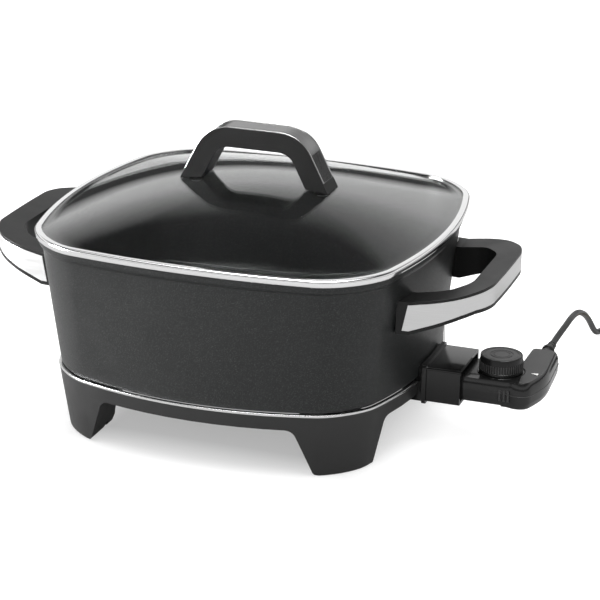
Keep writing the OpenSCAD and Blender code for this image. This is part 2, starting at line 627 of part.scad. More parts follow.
module lid_handle() color([0.1, 0.1, 0.11]) placed() difference() {
    arch_solid(bend_r - arch_t, bend_r, arch_w);
    below_glass(seat_gap);
    // Each foot takes its gasket in a shallow round seat
    intersection() {
        lid_screw_places() cylinder(d = gasket_d + 2 * seat_gap, h = rim_h * 2);
        below_glass(gasket_t + fold_gap);
    }
    strip_space(inlay_gap);
    lid_screw_places() cylinder(d = screw_d + 2 * screw_gap, h = foot_z + insert_depth);
}
module lid_handle_strip() color([0.55, 0.56, 0.57]) placed() intersection() {
    strip_space(0);
    arch_solid(bend_r - arch_t, bend_r, arch_w);
}
gasket_d = 12;
module lid_handle_gaskets() color([0.05, 0.05, 0.05]) placed() difference() {
    intersection() {
        lid_screw_places() cylinder(d = gasket_d, h = rim_h * 2);
        below_glass(gasket_t);
    }
    below_glass(0.05);
    lid_screw_places() cylinder(d = screw_d + 2 * hole_gap, h = rim_h * 2);
}
// A washer touches the sloping glass first at its outer edge
washer_t = 1.6;
washer_top = glass_top((lid_screw_spacing + gasket_d) / 2) - glass_t - seat_gap;
washer_bottom = washer_top - washer_t;
module lid_handle_washers() color([0.05, 0.05, 0.05]) placed() lid_screw_places()
    translate([0, 0, washer_bottom]) difference() {
        cylinder(d = gasket_d, h = washer_t);
        translate([0, 0, -over]) cylinder(d = screw_d + 2 * hole_gap, h = washer_t + 2 * over);
    }
module lid_handle_screws() color([0.75, 0.75, 0.76]) placed() lid_screw_places()
    screw_up(0, 0, washer_bottom, foot_z + insert_depth - 1 - washer_bottom);

// ---- Controller ----
axis_z = terminal_z - seat_gap;
ctrl_top = axis_z + ctrl_up;
ctrl_bottom = axis_z - ctrl_down;
neck_top = ctrl_top - neck_step_up;
neck_bottom = ctrl_bottom + neck_step_down;
nose_x = guard_back + guard_t + 3;
arm_in = ctrl_end - arm_x;
dial_x = guard_mouth + 24.5;
neck_end = arm_in + 1;
shell_seam = axis_z - 1;
// Plan of the controller, set in by d
function ctrl_plan(d) = let (y = neck_w / 2 - d) soft([
    [nose_x + d, -y, 2], [arm_in + 2 - d * 0.3, -y, 2], [arm_in + 7 - d * 0.3, -y - 1.6, 2],
    [ctrl_end - 9 - d * 0.6, -y - 1.4, 7], [ctrl_end - d, 5, 14],
    [ctrl_end - 3.5 - d, arm_y - d, 4], [arm_in + d, arm_y - d, 4],
    [arm_in + d, y, 9], [nose_x + d, y, 2]]);
module ctrl_rings(rings) skinned([for (r = rings) [for (p = ctrl_plan(r[0])) [p.x, p.y, r[1]]]],
    hub = [dial_x + 20, 0]);
ctrl_screw_spots = [[dial_x - 12, -neck_w / 2 + 6.5], [dial_x - 12, neck_w / 2 - 6.5],
    [ctrl_end - arm_x / 2 - 0.5, arm_y - 19]];
module ctrl_screw_places() for (p = ctrl_screw_spots) translate([p.x, p.y, 0]) children();
post_d = 6.5;
ctrl_screw_seat = neck_bottom + 1.9;
plate_t = 0.8;
plate_in = 3.2;
lens_x = ctrl_end - 10;
lens_y = 2.5;
sleeve_d = 8;
rib_t = 3;
relief_x = ctrl_end - 14.9;
relief_z = axis_z + 3.7;
relief_d = 9;
relief_hole_d = 6.4;
relief_flange = 2.4;
// The raised part of the arm, which the plate covers
module raised_region(d) linear_extrude(rim_h) polygon([
    [dial_x + 21.5 + d, -neck_w], [dial_x + 16.5 + d, 2], [dial_x + 4 + d, neck_w / 2 + 2],
    [dial_x + 4 + d, arm_y + 10], [lid_w, arm_y + 10], [lid_w, -neck_w]]);
module controller_upper_shell() color([0.06, 0.06, 0.065]) placed() difference() {
    union() {
        difference() {
            ctrl_rings([[0, shell_seam], [0.1, shell_seam + 3], [0.6, ctrl_top - 4],
                [1.2, ctrl_top - 2.2], [1.9, ctrl_top - 0.8], [2.6, ctrl_top]]);
            ctrl_rings([[shell_t, shell_seam - over], [shell_t, shell_seam],
                [shell_t + 0.6, ctrl_top - 4], [shell_t + 1, neck_top - shell_t]]);
        }
        ctrl_screw_places() translate([0, 0, shell_seam])
            cylinder(d = post_d, h = neck_top - shell_t / 2 - shell_seam);
    }
    // The neck and the dial's place are a step lower than the arm
    difference() {
        block([0, -lid_d, neck_top], [ctrl_end, lid_d, ctrl_top + over]);
        raised_region(0);
    }
    ctrl_screw_places() translate([0, 0, shell_seam - over])
        cylinder(d = small_screw_d + 2 * screw_gap, h = 7);
    translate([dial_x, 0, 0]) cylinder(d = shaft_d + 0.16, h = rim_h);
    translate([dial_x, 0, neck_top]) cylinder(d = dial_d + 3.4, h = 5);
    plate_space(0.05);
    lens_space(0.1);
    // Half rounds where the sleeves and the rod come out
    for (s = [-1, 1]) rod_x(0, nose_x + 6, s * pin_spacing / 2, axis_z, sleeve_d + 0.4);
    rod_x(0, nose_x + 6, 0, axis_z, rod_d + 0.4);
    translate([relief_x, arm_y - 6, relief_z]) rotate([-90, 0, 0]) cylinder(d = relief_hole_d, h = 20);
}
module plate_space(d) translate([0, 0, ctrl_top - plate_t - d]) intersection() {
    linear_extrude(plate_t + d + over) polygon(ctrl_plan(plate_in - d));
    raised_region(-d);
}
module lens_space(d) translate([lens_x, lens_y, ctrl_top - 3]) linear_extrude(3)
    polygon([[-3 - d * 2, 0], [3 + d, -1.8 - d], [3 + d, 1.8 + d]]);
module controller_top_plate() color([0.3, 0.3, 0.3]) placed() difference() {
    intersection() {
        plate_space(0);
        block([0, -lid_d, 0], [lid_w, lid_d, ctrl_top]);
    }
    lens_space(0.1);
    translate([dial_x, 0, 0]) cylinder(d = dial_d + 3.5, h = rim_h);
}
module pilot_lens() color([0.95, 0.95, 0.92]) placed() lens_space(0);
module pilot_lamp() color([0.9, 0.6, 0.4]) placed()
    translate([lens_x, lens_y - 6, ctrl_top - 5.7]) rotate([-90, 0, 0]) cylinder(d = 5, h = 12);
module controller_lower_shell() color([0.06, 0.06, 0.065]) placed() difference() {
    union() {
        difference() {
            ctrl_rings([[2.6, ctrl_bottom], [1.6, ctrl_bottom + 0.8], [0.8, ctrl_bottom + 2.4],
                [0.2, ctrl_bottom + 5], [0, shell_seam]]);
            translate([0, 0, neck_bottom + shell_t]) linear_extrude(ctrl_up + ctrl_down)
                polygon(ctrl_plan(shell_t + 0.4));
        }
        // Ribs that cradle the sleeves and the rod
        for (x = [nose_x + 3, nose_x + 21])
            block([x, -neck_w / 2 + 1, neck_bottom + 1], [x + rib_t, neck_w / 2 - 1, axis_z - 2.9]);
        ctrl_screw_places() translate([0, 0, ctrl_bottom + 1])
            cylinder(d = post_d, h = shell_seam - ctrl_bottom - 1);
        // Grip ribs on the neck's front and back
        for (i = [0:2], s = [-1, 1]) translate([arm_in - 4.5 + 2.6 * i, s * neck_w / 2, axis_z - 7])
            cylinder(d = 1.2, h = 5.4);
    }
    block([0, -lid_d, ctrl_bottom - over], [neck_end - 4, lid_d, neck_bottom]);
    ctrl_screw_places() {
        cylinder(d = small_screw_d + 2 * hole_gap, h = rim_h);
        cylinder(d = small_head_d + 0.4, h = ctrl_screw_seat);
    }
    for (s = [-1, 1]) rod_x(0, nose_x + 28, s * pin_spacing / 2, axis_z, sleeve_d + 0.4);
    rod_x(0, nose_x + 28, 0, axis_z, rod_d + 0.4);
}
module controller_screws() color([0.75, 0.75, 0.76]) placed() ctrl_screw_places()
    screw_up(0, 0, ctrl_screw_seat, shell_seam - ctrl_screw_seat + 5, small_screw_d,
        small_head_d, small_head_h);
sleeve_l = 24;
module contact_sleeves() color([0.8, 0.65, 0.4]) placed() for (s = [-1, 1])
    ring_x(nose_x, nose_x + sleeve_l, s * pin_spacing / 2, axis_z, sleeve_d, pin_d + 0.7);
frame_x = nose_x + sleeve_l + 2;
module sensor_probe() color([0.8, 0.8, 0.8]) placed() rod_x(rod_tip, frame_x + 1, 0, axis_z, rod_d);
frame_floor = neck_bottom + shell_t;
module thermostat_frame() color([0.7, 0.7, 0.68]) placed() difference() {
    union() {
        block([frame_x, -8, frame_floor + 0.2], [frame_x + 26, 8, frame_floor + 1.4]);
        block([frame_x, -8, frame_floor + 0.2], [frame_x + 1.4, 8, axis_z + 5]);
        block([frame_x + 22, -4, frame_floor + 0.2], [frame_x + 26, 4, axis_z + 1]);
    }
    rod_x(frame_x - over, frame_x + 1, 0, axis_z, rod_d + 2 * screw_gap);
}
module bimetal_blade() color([0.75, 0.6, 0.45]) placed()
    block([frame_x + 4, -3, axis_z + 1], [frame_x + 26, 3, axis_z + 1.8]);
module switch_contacts() color([0.85, 0.7, 0.4]) placed() for (z = [0, 1])
    translate([frame_x + 6, 0, axis_z + (z == 0 ? -1.6 : 1.8)]) cylinder(d = 4, h = z == 0 ? 2.4 : 1);
module dial_seat() color([0.04, 0.04, 0.04]) placed() translate([dial_x, 0, neck_top]) difference() {
    union() {
        cylinder(d = dial_d + 2, h = 0.8);
        cylinder(d = dial_d - 3, h = 1.4);
    }
    translate([0, 0, -over]) cylinder(d = shaft_d + 2, h = 2 + 2 * over);
}
module strain_relief() color([0.05, 0.05, 0.05]) placed() translate([relief_x, arm_y, relief_z])
    rotate([-90, 0, 0]) {
        translate([0, 0, -5]) cylinder(d = relief_hole_d - 0.1, h = 5 + relief_flange);
        translate([0, 0, 0.1]) cylinder(d = relief_d, h = relief_flange);
        translate([0, 0, relief_flange]) cylinder(d1 = relief_d - 1.6, d2 = cord_d + 0.8,
            h = relief_l - relief_flange);
    }

// ---- Dial ----
dial_z = neck_top + 1.7;
module dial_knob() color([0.08, 0.08, 0.08]) placed() translate([dial_x, 0, dial_z]) difference() {
    union() {
        cylinder(d = dial_d, h = 2);
        cylinder(d = dial_d - 1.6, h = dial_h);
        for (i = [0:dial_ribs - 1]) rotate(i * 360 / dial_ribs)
            translate([dial_d / 2 - 1.2, -0.35, 0]) cube([1, 0.7, dial_h * 0.62]);
    }
    translate([0, 0, -over]) cylinder(d = dial_d - 6, h = dial_h - 3 + over);
    translate([0, 0, dial_h - 0.8]) cylinder(d = dial_d - 4, h = 1 + over);
    cylinder(d = shaft_d + 2 * screw_gap, h = dial_h);
}
module dial_cap() color([0.35, 0.36, 0.35]) placed() translate([dial_x, 0, dial_z + dial_h - 0.8]) {
    cylinder(d = dial_d - 4.1, h = 0.7);
    // Pointer dot, at the front left when the dial is at rest
    translate([-2.2, -6, 0]) cylinder(d = 1.4, h = 0.9);
}
shaft_bottom = axis_z + 2.2;
clip_z = neck_top - shell_t - 1.3;
module dial_shaft() color([0.7, 0.7, 0.7]) placed() translate([dial_x, 0, 0])
    translate([0, 0, shaft_bottom]) cylinder(d = shaft_d, h = dial_z + dial_h - 1.2 - shaft_bottom);
module dial_clip() color([0.6, 0.6, 0.6]) placed() translate([dial_x, 0, clip_z]) difference() {
    cylinder(d = shaft_d + 5, h = 1);
    translate([0, 0, -over]) cylinder(d = shaft_d + 2 * screw_gap, h = 3);
}

// ---- Cord ----
// Route from the strain relief: out level, down to the table, round one bend and on to the coil.
// Each point is [sideways, back, share of the way up from the table to the strain relief]
cord_rest = cord_d / 2;
cord_from = [relief_x, arm_y + relief_l, relief_z];
cord_route = [
    [0, -3, 1], [0.1, 12, 1.015], [0.6, 26, 1.033], [1.1, 40, 1.045], [1.2, 54, 1.05],
    [1.2, 66, 1.035], [1.2, 78, 0.997], [1.2, 90, 0.927], [1.2, 102, 0.83], [1.2, 113, 0.722],
    [1.2, 123, 0.602], [1.2, 132, 0.481], [1.2, 140, 0.362], [1.3, 147.5, 0.247],
    [1.4, 154.5, 0.145], [1.7, 161.5, 0.068], [2.4, 169, 0.02], [4.2, 177, 0], [7.6, 184, 0],
    [12.6, 189.6, 0], [19, 193.2, 0], [26.4, 194.8, 0], [35, 195, 0.006], [44, 195, 0.014],
    [54, 195, 0.018]];
cord_points = [for (p = cord_route) [cord_from.x + p.x, cord_from.y + p.y,
    cord_rest + 0.1 + (cord_from.z - cord_rest - 0.1) * p.z]];
coil_r = 5.5 * cord_d;
coil_w = 2 * cord_d + 0.6;
coil_h = 2 * cord_d + 0.2;
// The coil lies where the cord runs into its outer turn
cord_end = cord_route[len(cord_route) - 1];
coil_at = [cord_from.x + cord_end.x + 1,
    cord_from.y + cord_end.y - coil_r - (coil_w - cord_d - 0.3) / 2, 1];
tie_t = 0.8;
cord_sides = 10;
module cord() color([0.05, 0.05, 0.05]) placed() tube(cord_points, cord_d / 2, cord_sides);
module cord_coil() color([0.05, 0.05, 0.05]) placed() translate(coil_at) rotate_extrude()
    translate([coil_r - coil_w / 2, 0]) square([coil_w, coil_h]);
tie_w = 5;
module cord_tie() color([0.1, 0.1, 0.1]) placed() translate(coil_at + [coil_r, 0, coil_h / 2]) difference() {
    cube([coil_w + 0.6 + 2 * tie_t, tie_w, coil_h + 0.2 + 2 * tie_t], center = true);
    cube([coil_w + 0.6, tie_w + over, coil_h + 0.2], center = true);
}
// The end of the cord climbs off the coil and turns back into the plug on top: points from the
// coil's middle, with heights above the coil's top face
lead_route = [
    [-25.8, -9.4, -3.8], [-27.5, 0, -2], [-25.8, 9.4, -0.6], [-21.1, 17.7, 1], [-13.8, 23.8, 2.3],
    [-5.7, 26.9, 2.9], [3, 27.5, 3.4], [11, 27.5, 3.8], [19, 27.5, 4.1], [27.5, 25.6, 4.5],
    [34.3, 20.4, 5.1], [38.3, 12.7, 5.8], [38.7, 4, 6.4], [35.4, -4, 6.9], [29, -9.8, 7.3],
    [23, -12.1, 7.5], [16, -12.5, 7.5]];
module cord_lead() color([0.05, 0.05, 0.05]) placed()
    tube([for (p = lead_route) coil_at + p + [0, 0, coil_h]], cord_d / 2, cord_sides);
plug_cone = 9;        // the tapered end of the plug's body
lead_end = lead_route[len(lead_route) - 1];
plug_at = coil_at + lead_end + [-plug_cone - 3, 0, coil_h + plug_t / 2 - 7.5];
module plug() color([0.05, 0.05, 0.05]) placed() translate(plug_at) {
    difference() {
        rotate([90, 0, -90]) linear_extrude(plug_l) polygon(soft([
            [-plug_w / 2, -plug_t / 2, 4], [plug_w / 2, -plug_t / 2, 4],
            [plug_w / 2, plug_t / 2, 4], [-plug_w / 2, plug_t / 2, 4]]));
        for (s = [-1, 1]) translate([-plug_l + 5, s * 6.35, 0])
            cube([10.1, 1.6, 6.4], center = true);
    }
    rod_x(-1, 3, 0, 0, plug_t - 3);
    translate([3, 0, 0]) rotate([0, 90, 0])
        cylinder(d1 = plug_t - 5, d2 = cord_d + 1, h = plug_cone);
}
blade_l = 17;
module plug_blades() color([0.8, 0.78, 0.7]) placed() translate(plug_at) for (s = [-1, 1])
    translate([-plug_l - blade_l, s * 6.35 - 0.75, -3.15]) cube([blade_l + 9, 1.5, 6.3]);

pan();
heating_element();
terminal_pins();
pin_insulators();
probe_well();
base_frame();
seam_trim();
base_screws();
handle_right();
handle_left();
handle_inlay_right();
handle_inlay_left();
handle_screws();
terminal_guard();
guard_screws();
lid_glass();
lid_band();
lid_handle();
lid_handle_strip();
lid_handle_gaskets();
lid_handle_washers();
lid_handle_screws();
controller_upper_shell();
controller_lower_shell();
controller_top_plate();
pilot_lens();
pilot_lamp();
dial_seat();
contact_sleeves();
sensor_probe();
thermostat_frame();
bimetal_blade();
switch_contacts();
controller_screws();
strain_relief();
dial_knob();
dial_cap();
dial_shaft();
dial_clip();
cord();
cord_coil();
cord_lead();
cord_tie();
plug();
plug_blades();
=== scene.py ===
# %% [markdown]
# # An electric skillet with a glass lid and a plug-in heat controller
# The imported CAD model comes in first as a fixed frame. Every piece made here is in metres, in
# the same place as the solid it refines, and rides on one of the frame's bodies: the skillet,
# the lid, the controller or its dial.

# %% Load the frame
import bpy, bmesh, math
from mathutils import Vector, Matrix
from mathutils.geometry import convex_hull_2d


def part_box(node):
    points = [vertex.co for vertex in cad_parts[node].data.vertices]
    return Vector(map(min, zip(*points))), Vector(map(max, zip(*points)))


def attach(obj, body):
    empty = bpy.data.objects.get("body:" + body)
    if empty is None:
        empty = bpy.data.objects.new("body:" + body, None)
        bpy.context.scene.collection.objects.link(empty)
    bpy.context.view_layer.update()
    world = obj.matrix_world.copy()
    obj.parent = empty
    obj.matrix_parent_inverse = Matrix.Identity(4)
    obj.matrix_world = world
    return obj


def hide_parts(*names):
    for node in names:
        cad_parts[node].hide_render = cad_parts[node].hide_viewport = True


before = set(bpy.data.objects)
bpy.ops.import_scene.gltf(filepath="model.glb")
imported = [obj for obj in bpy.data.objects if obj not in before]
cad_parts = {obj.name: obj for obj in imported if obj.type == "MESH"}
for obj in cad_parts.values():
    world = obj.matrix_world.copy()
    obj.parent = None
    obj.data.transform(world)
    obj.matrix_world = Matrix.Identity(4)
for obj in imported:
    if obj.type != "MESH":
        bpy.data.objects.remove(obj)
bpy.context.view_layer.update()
MM = 0.001

# %% [markdown]
# ## Camera
# A long lens from the front right, a little above the lid, shows two sides, the lid and the
# controller with hardly any perspective. It is placed from its position, its aim and a small roll.

# %% Camera
CAM_AT = Vector((0.56277, -1.57360, 0.68774))
CAM_AIM = Vector((0.018974, 0.000186, 0.0904))
CAM_ROLL = math.radians(1.096)
LENS_PER_FRAME = 2303 / 600      # focal length as a share of the frame's width


def make_camera():
    data = bpy.data.cameras.new("view")
    data.sensor_width = 36
    data.lens = 36 * LENS_PER_FRAME
    cam = bpy.data.objects.new("view", data)
    bpy.context.scene.collection.objects.link(cam)
    back = (CAM_AT - CAM_AIM).normalized()
    right = Vector((0, 0, 1)).cross(back).normalized()
    up = back.cross(right)
    r = right * math.cos(CAM_ROLL) + up * math.sin(CAM_ROLL)
    u = up * math.cos(CAM_ROLL) - right * math.sin(CAM_ROLL)
    turn = Matrix((r, u, back)).transposed().to_4x4()
    cam.matrix_world = Matrix.Translation(CAM_AT) @ turn
    bpy.context.scene.camera = cam


make_camera()
bpy.context.scene.view_settings.view_transform = "Standard"
print("camera placed, lens", round(36 * LENS_PER_FRAME, 1), "mm")

# %% [markdown]
# ## Shader groups
# Effects that several finishes share are node groups: moulded grain, metallic flakes, brushed
# scratches and handling marks. Each is built once with named inputs and puts out values only, so
# that the shader itself stays in each material.


# %% Node helpers
def new_group(name, inputs, outputs):
    g = bpy.data.node_groups.new(name, "ShaderNodeTree")
    for label, value in inputs.items():
        kind = "NodeSocketVector" if isinstance(value, tuple) else "NodeSocketFloat"
        g.interface.new_socket(label, in_out="INPUT", socket_type=kind).default_value = value
    for label in outputs:
        g.interface.new_socket(label, in_out="OUTPUT", socket_type="NodeSocketFloat")
    return g, g.nodes.new("NodeGroupInput"), g.nodes.new("NodeGroupOutput")


def node(tree, kind, links=(), **settings):
    """A node with its settings; links maps a socket's name or number to a value or an output."""
    n = tree.nodes.new(kind)
    for k, v in settings.items():
        setattr(n, k, v)
    for k, v in dict(links).items():
        if isinstance(v, bpy.types.NodeSocket):
            tree.links.new(v, n.inputs[k])
        else:
            n.inputs[k].default_value = v
    return n


def maths(tree, op, a, b=0.0, c=0.0):
    return node(tree, "ShaderNodeMath", {0: a, 1: b, 2: c}, operation=op).outputs[0]


def cleared(data):
    """The emptied node tree of a material or a world."""
    data.use_nodes = True
    data.node_tree.nodes.clear()
    return data.node_tree


def ranged(tree, value, a, b, c, d):
    """value, from the range a..b to the range c..d, held at its ends."""
    return node(tree, "ShaderNodeMapRange", {0: value, 1: a, 2: b, 3: c, 4: d}).outputs[0]


def object_point(tree):
    return node(tree, "ShaderNodeTexCoord").outputs["Object"]


# %% Fine grain of moulded plastic and cast metal
def make_grain():
    g, i, o = new_group("fine_grain", {"Size mm": 0.4, "Soft spots mm": 30.0}, ["Grain", "Spots"])
    at = object_point(g)
    for label, size, detail in (("Grain", "Size mm", 2.0), ("Spots", "Soft spots mm", 3.0)):
        scale = maths(g, "DIVIDE", 1000.0, i.outputs[size])
        n = node(g, "ShaderNodeTexNoise", {"Vector": at, "Scale": scale, "Detail": detail})
        g.links.new(n.outputs[0], o.inputs[label])
    return g


# %% Metallic flakes in a coating
def make_flakes():
    g, i, o = new_group("metal_flakes", {"Flake mm": 0.5, "Share": 0.12}, ["Flake", "Tone"])
    at = object_point(g)
    scale = maths(g, "DIVIDE", 1000.0, i.outputs["Flake mm"])
    cells = node(g, "ShaderNodeTexVoronoi", {"Vector": at, "Scale": scale}, feature="F1")
    tone = node(g, "ShaderNodeSeparateColor", {0: cells.outputs["Color"]})
    near = ranged(g, cells.outputs["Distance"], 0.15, 0.45, 1.0, 0.0)
    edge = maths(g, "SUBTRACT", 1.0, i.outputs["Share"])
    chosen = maths(g, "GREATER_THAN", tone.outputs[0], edge)
    g.links.new(maths(g, "MULTIPLY", chosen, near), o.inputs["Flake"])
    g.links.new(tone.outputs[1], o.inputs["Tone"])
    return g


# %% Brushed scratches, drawn long on one axis
def make_brushed():
    g, i, o = new_group("brushed_lines", {"Stretch": (1.0, 1.0, 1.0)}, ["Lines", "Bands"])
    at = node(g, "ShaderNodeMapping",
              {"Vector": object_point(g), "Scale": i.outputs["Stretch"]}).outputs[0]
    fine = node(g, "ShaderNodeTexNoise", {"Vector": at, "Scale": 1.0, "Detail": 3.0})
    wide = node(g, "ShaderNodeTexNoise", {"Vector": at, "Scale": 0.12, "Detail": 1.0})
    g.links.new(fine.outputs[0], o.inputs["Lines"])
    g.links.new(wide.outputs[0], o.inputs["Bands"])
    return g


# %% Handling marks: faint smears and dust
def make_marks():
    g, i, o = new_group("handling_marks", {"Size mm": 40.0}, ["Smear", "Dust"])
    at = object_point(g)
    scale = maths(g, "DIVIDE", 1000.0, i.outputs["Size mm"])
    smear = node(g, "ShaderNodeTexNoise", {"Vector": at, "Scale": scale, "Detail": 4.0,
                                           "Distortion": 1.2})
    dust = node(g, "ShaderNodeTexNoise", {"Vector": at, "Scale": 1800.0, "Detail": 1.0})
    g.links.new(ranged(g, smear.outputs[0], 0.35, 0.7, 0.0, 1.0), o.inputs["Smear"])
    g.links.new(ranged(g, dust.outputs[0], 0.66, 0.74, 0.0, 1.0), o.inputs["Dust"])
    return g


GRAIN, FLAKES, BRUSHED, MARKS = make_grain(), make_flakes(), make_brushed(), make_marks()
print("shader groups:", [g.name for g in (GRAIN, FLAKES, BRUSHED, MARKS)])

# %% [markdown]
# ## Finishes
# One function makes each kind of finish. Plain numbers go straight on the shader's sockets; what
# changes over the surface comes from the groups and feeds colour, roughness or the bump's height.


# %% Shared parts of a material
def blank(name, **inputs):
    m = bpy.data.materials.new(name)
    t = cleared(m)
    out = node(t, "ShaderNodeOutputMaterial")
    p = node(t, "ShaderNodeBsdfPrincipled", {k.replace("_", " "): v for k, v in inputs.items()})
    t.links.new(p.outputs[0], out.inputs[0])
    return m, t, p


def group(tree, g, **values):
    return node(tree, "ShaderNodeGroup", {k.replace("_", " "): v for k, v in values.items()},
                node_tree=g)


def rgba(colour):
    """A colour from three shares, or from one number for a grey."""
    return (*(colour if isinstance(colour, tuple) else (colour,) * 3), 1)


def blend_colours(tree, share, a, b):
    n = node(tree, "ShaderNodeMix", {0: share}, data_type="RGBA")
    for k, v in ((6, a), (7, b)):
        if isinstance(v, bpy.types.NodeSocket):
            tree.links.new(v, n.inputs[k])
        else:
            n.inputs[k].default_value = rgba(v)
    return n.outputs[2]


def bump(tree, shader, height, depth_mm):
    n = node(tree, "ShaderNodeBump", {"Height": height, "Distance": depth_mm * MM, "Strength": 1})
    tree.links.new(n.outputs[0], shader.inputs["Normal"])


# %% Plastics and rubber
def plastic(name, dark, light, rough, grain_mm=0.35, grain_depth=0.01, coat=0.0, ior=1.4):
    """Moulded plastic: a fine grain, patches a little lighter, and faint smears in its gloss."""
    m, t, p = blank(name, IOR=ior, Coat_Weight=coat, Coat_Roughness=0.05)
    grain = group(t, GRAIN, Size_mm=grain_mm)
    marks = group(t, MARKS)
    t.links.new(blend_colours(t, grain.outputs["Spots"], dark, light), p.inputs["Base Color"])
    worn = maths(t, "MULTIPLY_ADD", grain.outputs["Spots"], 0.10, rough - 0.05)
    worn = maths(t, "MULTIPLY_ADD", marks.outputs["Smear"], 0.06, worn)
    t.links.new(worn, p.inputs["Roughness"])
    bump(t, p, grain.outputs["Grain"], grain_depth)
    return m


# %% Metals
def metal(name, dark, light, rough, stretch=None, depth=0.004, spread=0.12):
    """Bare metal: brushed along one axis, or plain with fine grain where stretch is left out."""
    m, t, p = blank(name, Metallic=1)
    if stretch is None:
        n = group(t, GRAIN, Size_mm=0.8)
        lines, bands = n.outputs["Grain"], n.outputs["Spots"]
    else:
        n = group(t, BRUSHED, Stretch=stretch)
        lines, bands = n.outputs["Lines"], n.outputs["Bands"]
    marks = group(t, MARKS)
    t.links.new(blend_colours(t, lines, dark, light), p.inputs["Base Color"])
    r = maths(t, "MULTIPLY_ADD", bands, spread, rough - spread / 2)
    r = maths(t, "MULTIPLY_ADD", marks.outputs["Smear"], spread * 0.4, r)
    t.links.new(r, p.inputs["Roughness"])
    bump(t, p, lines, depth)
    return m


# %% The pan's coatings
def coating(name, dark, light, flake_colour, rough, flake_mm, share, metallic, depth=0.01):
    """Sprayed coating with metallic flakes that catch the light one by one."""
    m, t, p = blank(name, Metallic=metallic)
    flakes = group(t, FLAKES, Flake_mm=flake_mm, Share=share)
    grain = group(t, GRAIN, Size_mm=0.6, Soft_spots_mm=60.0)
    marks = group(t, MARKS)
    ground = blend_colours(t, grain.outputs["Grain"], dark, light)
    colour = blend_colours(t, flakes.outputs["Flake"], ground, flake_colour)
    t.links.new(colour, p.inputs["Base Color"])
    r = maths(t, "MULTIPLY_ADD", flakes.outputs["Tone"], 0.16, rough - 0.08)
    r = maths(t, "MULTIPLY_ADD", marks.outputs["Smear"], 0.04, r)
    t.links.new(r, p.inputs["Roughness"])
    bump(t, p, grain.outputs["Grain"], depth)
    return m


# %% Glass
def glass(name, tint):
    """Clear glass, with handling marks only in its roughness."""
    m, t, p = blank(name, Base_Color=rgba(tint), Transmission_Weight=1, IOR=1.5)
    marks = group(t, MARKS, Size_mm=60.0)
    t.links.new(maths(t, "MULTIPLY", marks.outputs["Smear"], 0.012), p.inputs["Roughness"])
    return m


PAN_COAT = coating("pan_coat", (0.0066, 0.0074, 0.0074), (0.014, 0.016, 0.016), 0.15, 0.40,
                   0.36, 0.22, 0.2)
NON_STICK = coating("non_stick", 0.012, 0.020, 0.08, 0.38, 0.45, 0.06, 0.1)
BASE_PLASTIC = plastic("base_plastic", 0.014, 0.020, 0.38, ior=1.5)
HANDLE_PLASTIC = plastic("handle_plastic", 0.007, 0.010, 0.34, 0.3, 0.008, ior=1.36)
GLOSS_PLASTIC = plastic("gloss_plastic", 0.007, 0.010, 0.07, 0.8, 0.002, ior=1.45)
SHELL_PLASTIC = plastic("shell_plastic", 0.010, 0.014, 0.13, 0.4, 0.003, ior=1.45)
PLATE_PAINT = plastic("plate_paint", 0.040, 0.052, 0.42, 0.25, 0.01)
DIAL_PLASTIC = plastic("dial_plastic", 0.008, 0.012, 0.22, 0.3, 0.004)
# Painted highlight: a lighter copy of the black plastic, standing in for the light caught by the
# dial's ribs, the controller's parting line and its grip ribs
PAINTED_HIGHLIGHT_PLASTIC = plastic("painted_highlight_plastic", 0.035, 0.050, 0.26, 0.3, 0.004)
DIAL_FACE = plastic("dial_face", 0.050, 0.062, 0.34, 0.3, 0.006)
# Painted highlight: a light grey for the cap's raised rings, standing in for the light their edges
# catch
DIAL_RING_HIGHLIGHT = plastic("dial_ring_highlight", 0.16, 0.20, 0.30, 0.3, 0.004)
CORD_PVC = plastic("cord_pvc", 0.012, 0.018, 0.32, 0.5, 0.01)
RUBBER = plastic("rubber", 0.014, 0.02, 0.6, 0.3, 0.012)
CERAMIC = plastic("ceramic", (0.72, 0.69, 0.62), (0.82, 0.8, 0.74), 0.2, 0.8, 0.002, coat=0.5)
LENS = plastic("lens", (0.82, 0.82, 0.8), (0.9, 0.9, 0.88), 0.22, 0.8, 0.002, coat=0.3)
EDGING_STEEL = metal("edging_steel", 0.50, 0.58, 0.2, None, 0.0008, 0.05)
POLISHED = metal("polished_steel", 0.90, 0.95, 0.12, None, 0.0008, 0.05)
TRIM_CHROME = metal("trim_chrome", 0.74, 0.82, 0.16, None, 0.0008, 0.06)
INLAY_STEEL = metal("inlay_steel", 0.68, 0.80, 0.30, (60, 60, 4200), 0.003)
STRIP_STEEL = metal("strip_steel", 0.15, 0.27, 0.17, (40, 3600, 40), 0.003)
SCREW_STEEL = metal("screw_steel", 0.55, 0.66, 0.28)
BRASS = metal("brass", (0.62, 0.45, 0.2), (0.72, 0.55, 0.28), 0.3)
HEATER_METAL = metal("heater_metal", (0.2, 0.18, 0.16), (0.3, 0.28, 0.26), 0.5, None, 0.01)
CAST_METAL = metal("cast_metal", 0.4, 0.5, 0.5, None, 0.02)
CLEAR_GLASS = glass("clear_glass", (0.985, 0.995, 0.99))
LAMP_GLASS = glass("lamp_glass", (1.0, 0.6, 0.35))
print("finishes:", len([m for m in bpy.data.materials if m.use_nodes]))

# %% [markdown]
# ## Outline of the pan
# The pan is a rounded square whose four sides bulge. One function gives that outline at any
# height, set in by any amount, so the pan, the base trim, the lid's glass and its steel band all
# follow the same curve. Lengths here are in millimetres from the pan's middle; PAN_X moves them
# into the frame, whose origin is the middle of the pan and controller together.

# %% Outline
PAN_X = -16.1
RIM = (152.0, 150.0, 44.0, 23.0, 13.0)       # half width, half depth, corner, bulges
SEAM = (141.5, 139.5, 31.0, 25.0, 25.0)
FOOT = (133.5, 131.5, 28.0, 22.5, 22.5)
RIM_Z, SEAM_Z = 159.6, 50.0
SIDE_STEPS, CORNER_STEPS = 14, 20


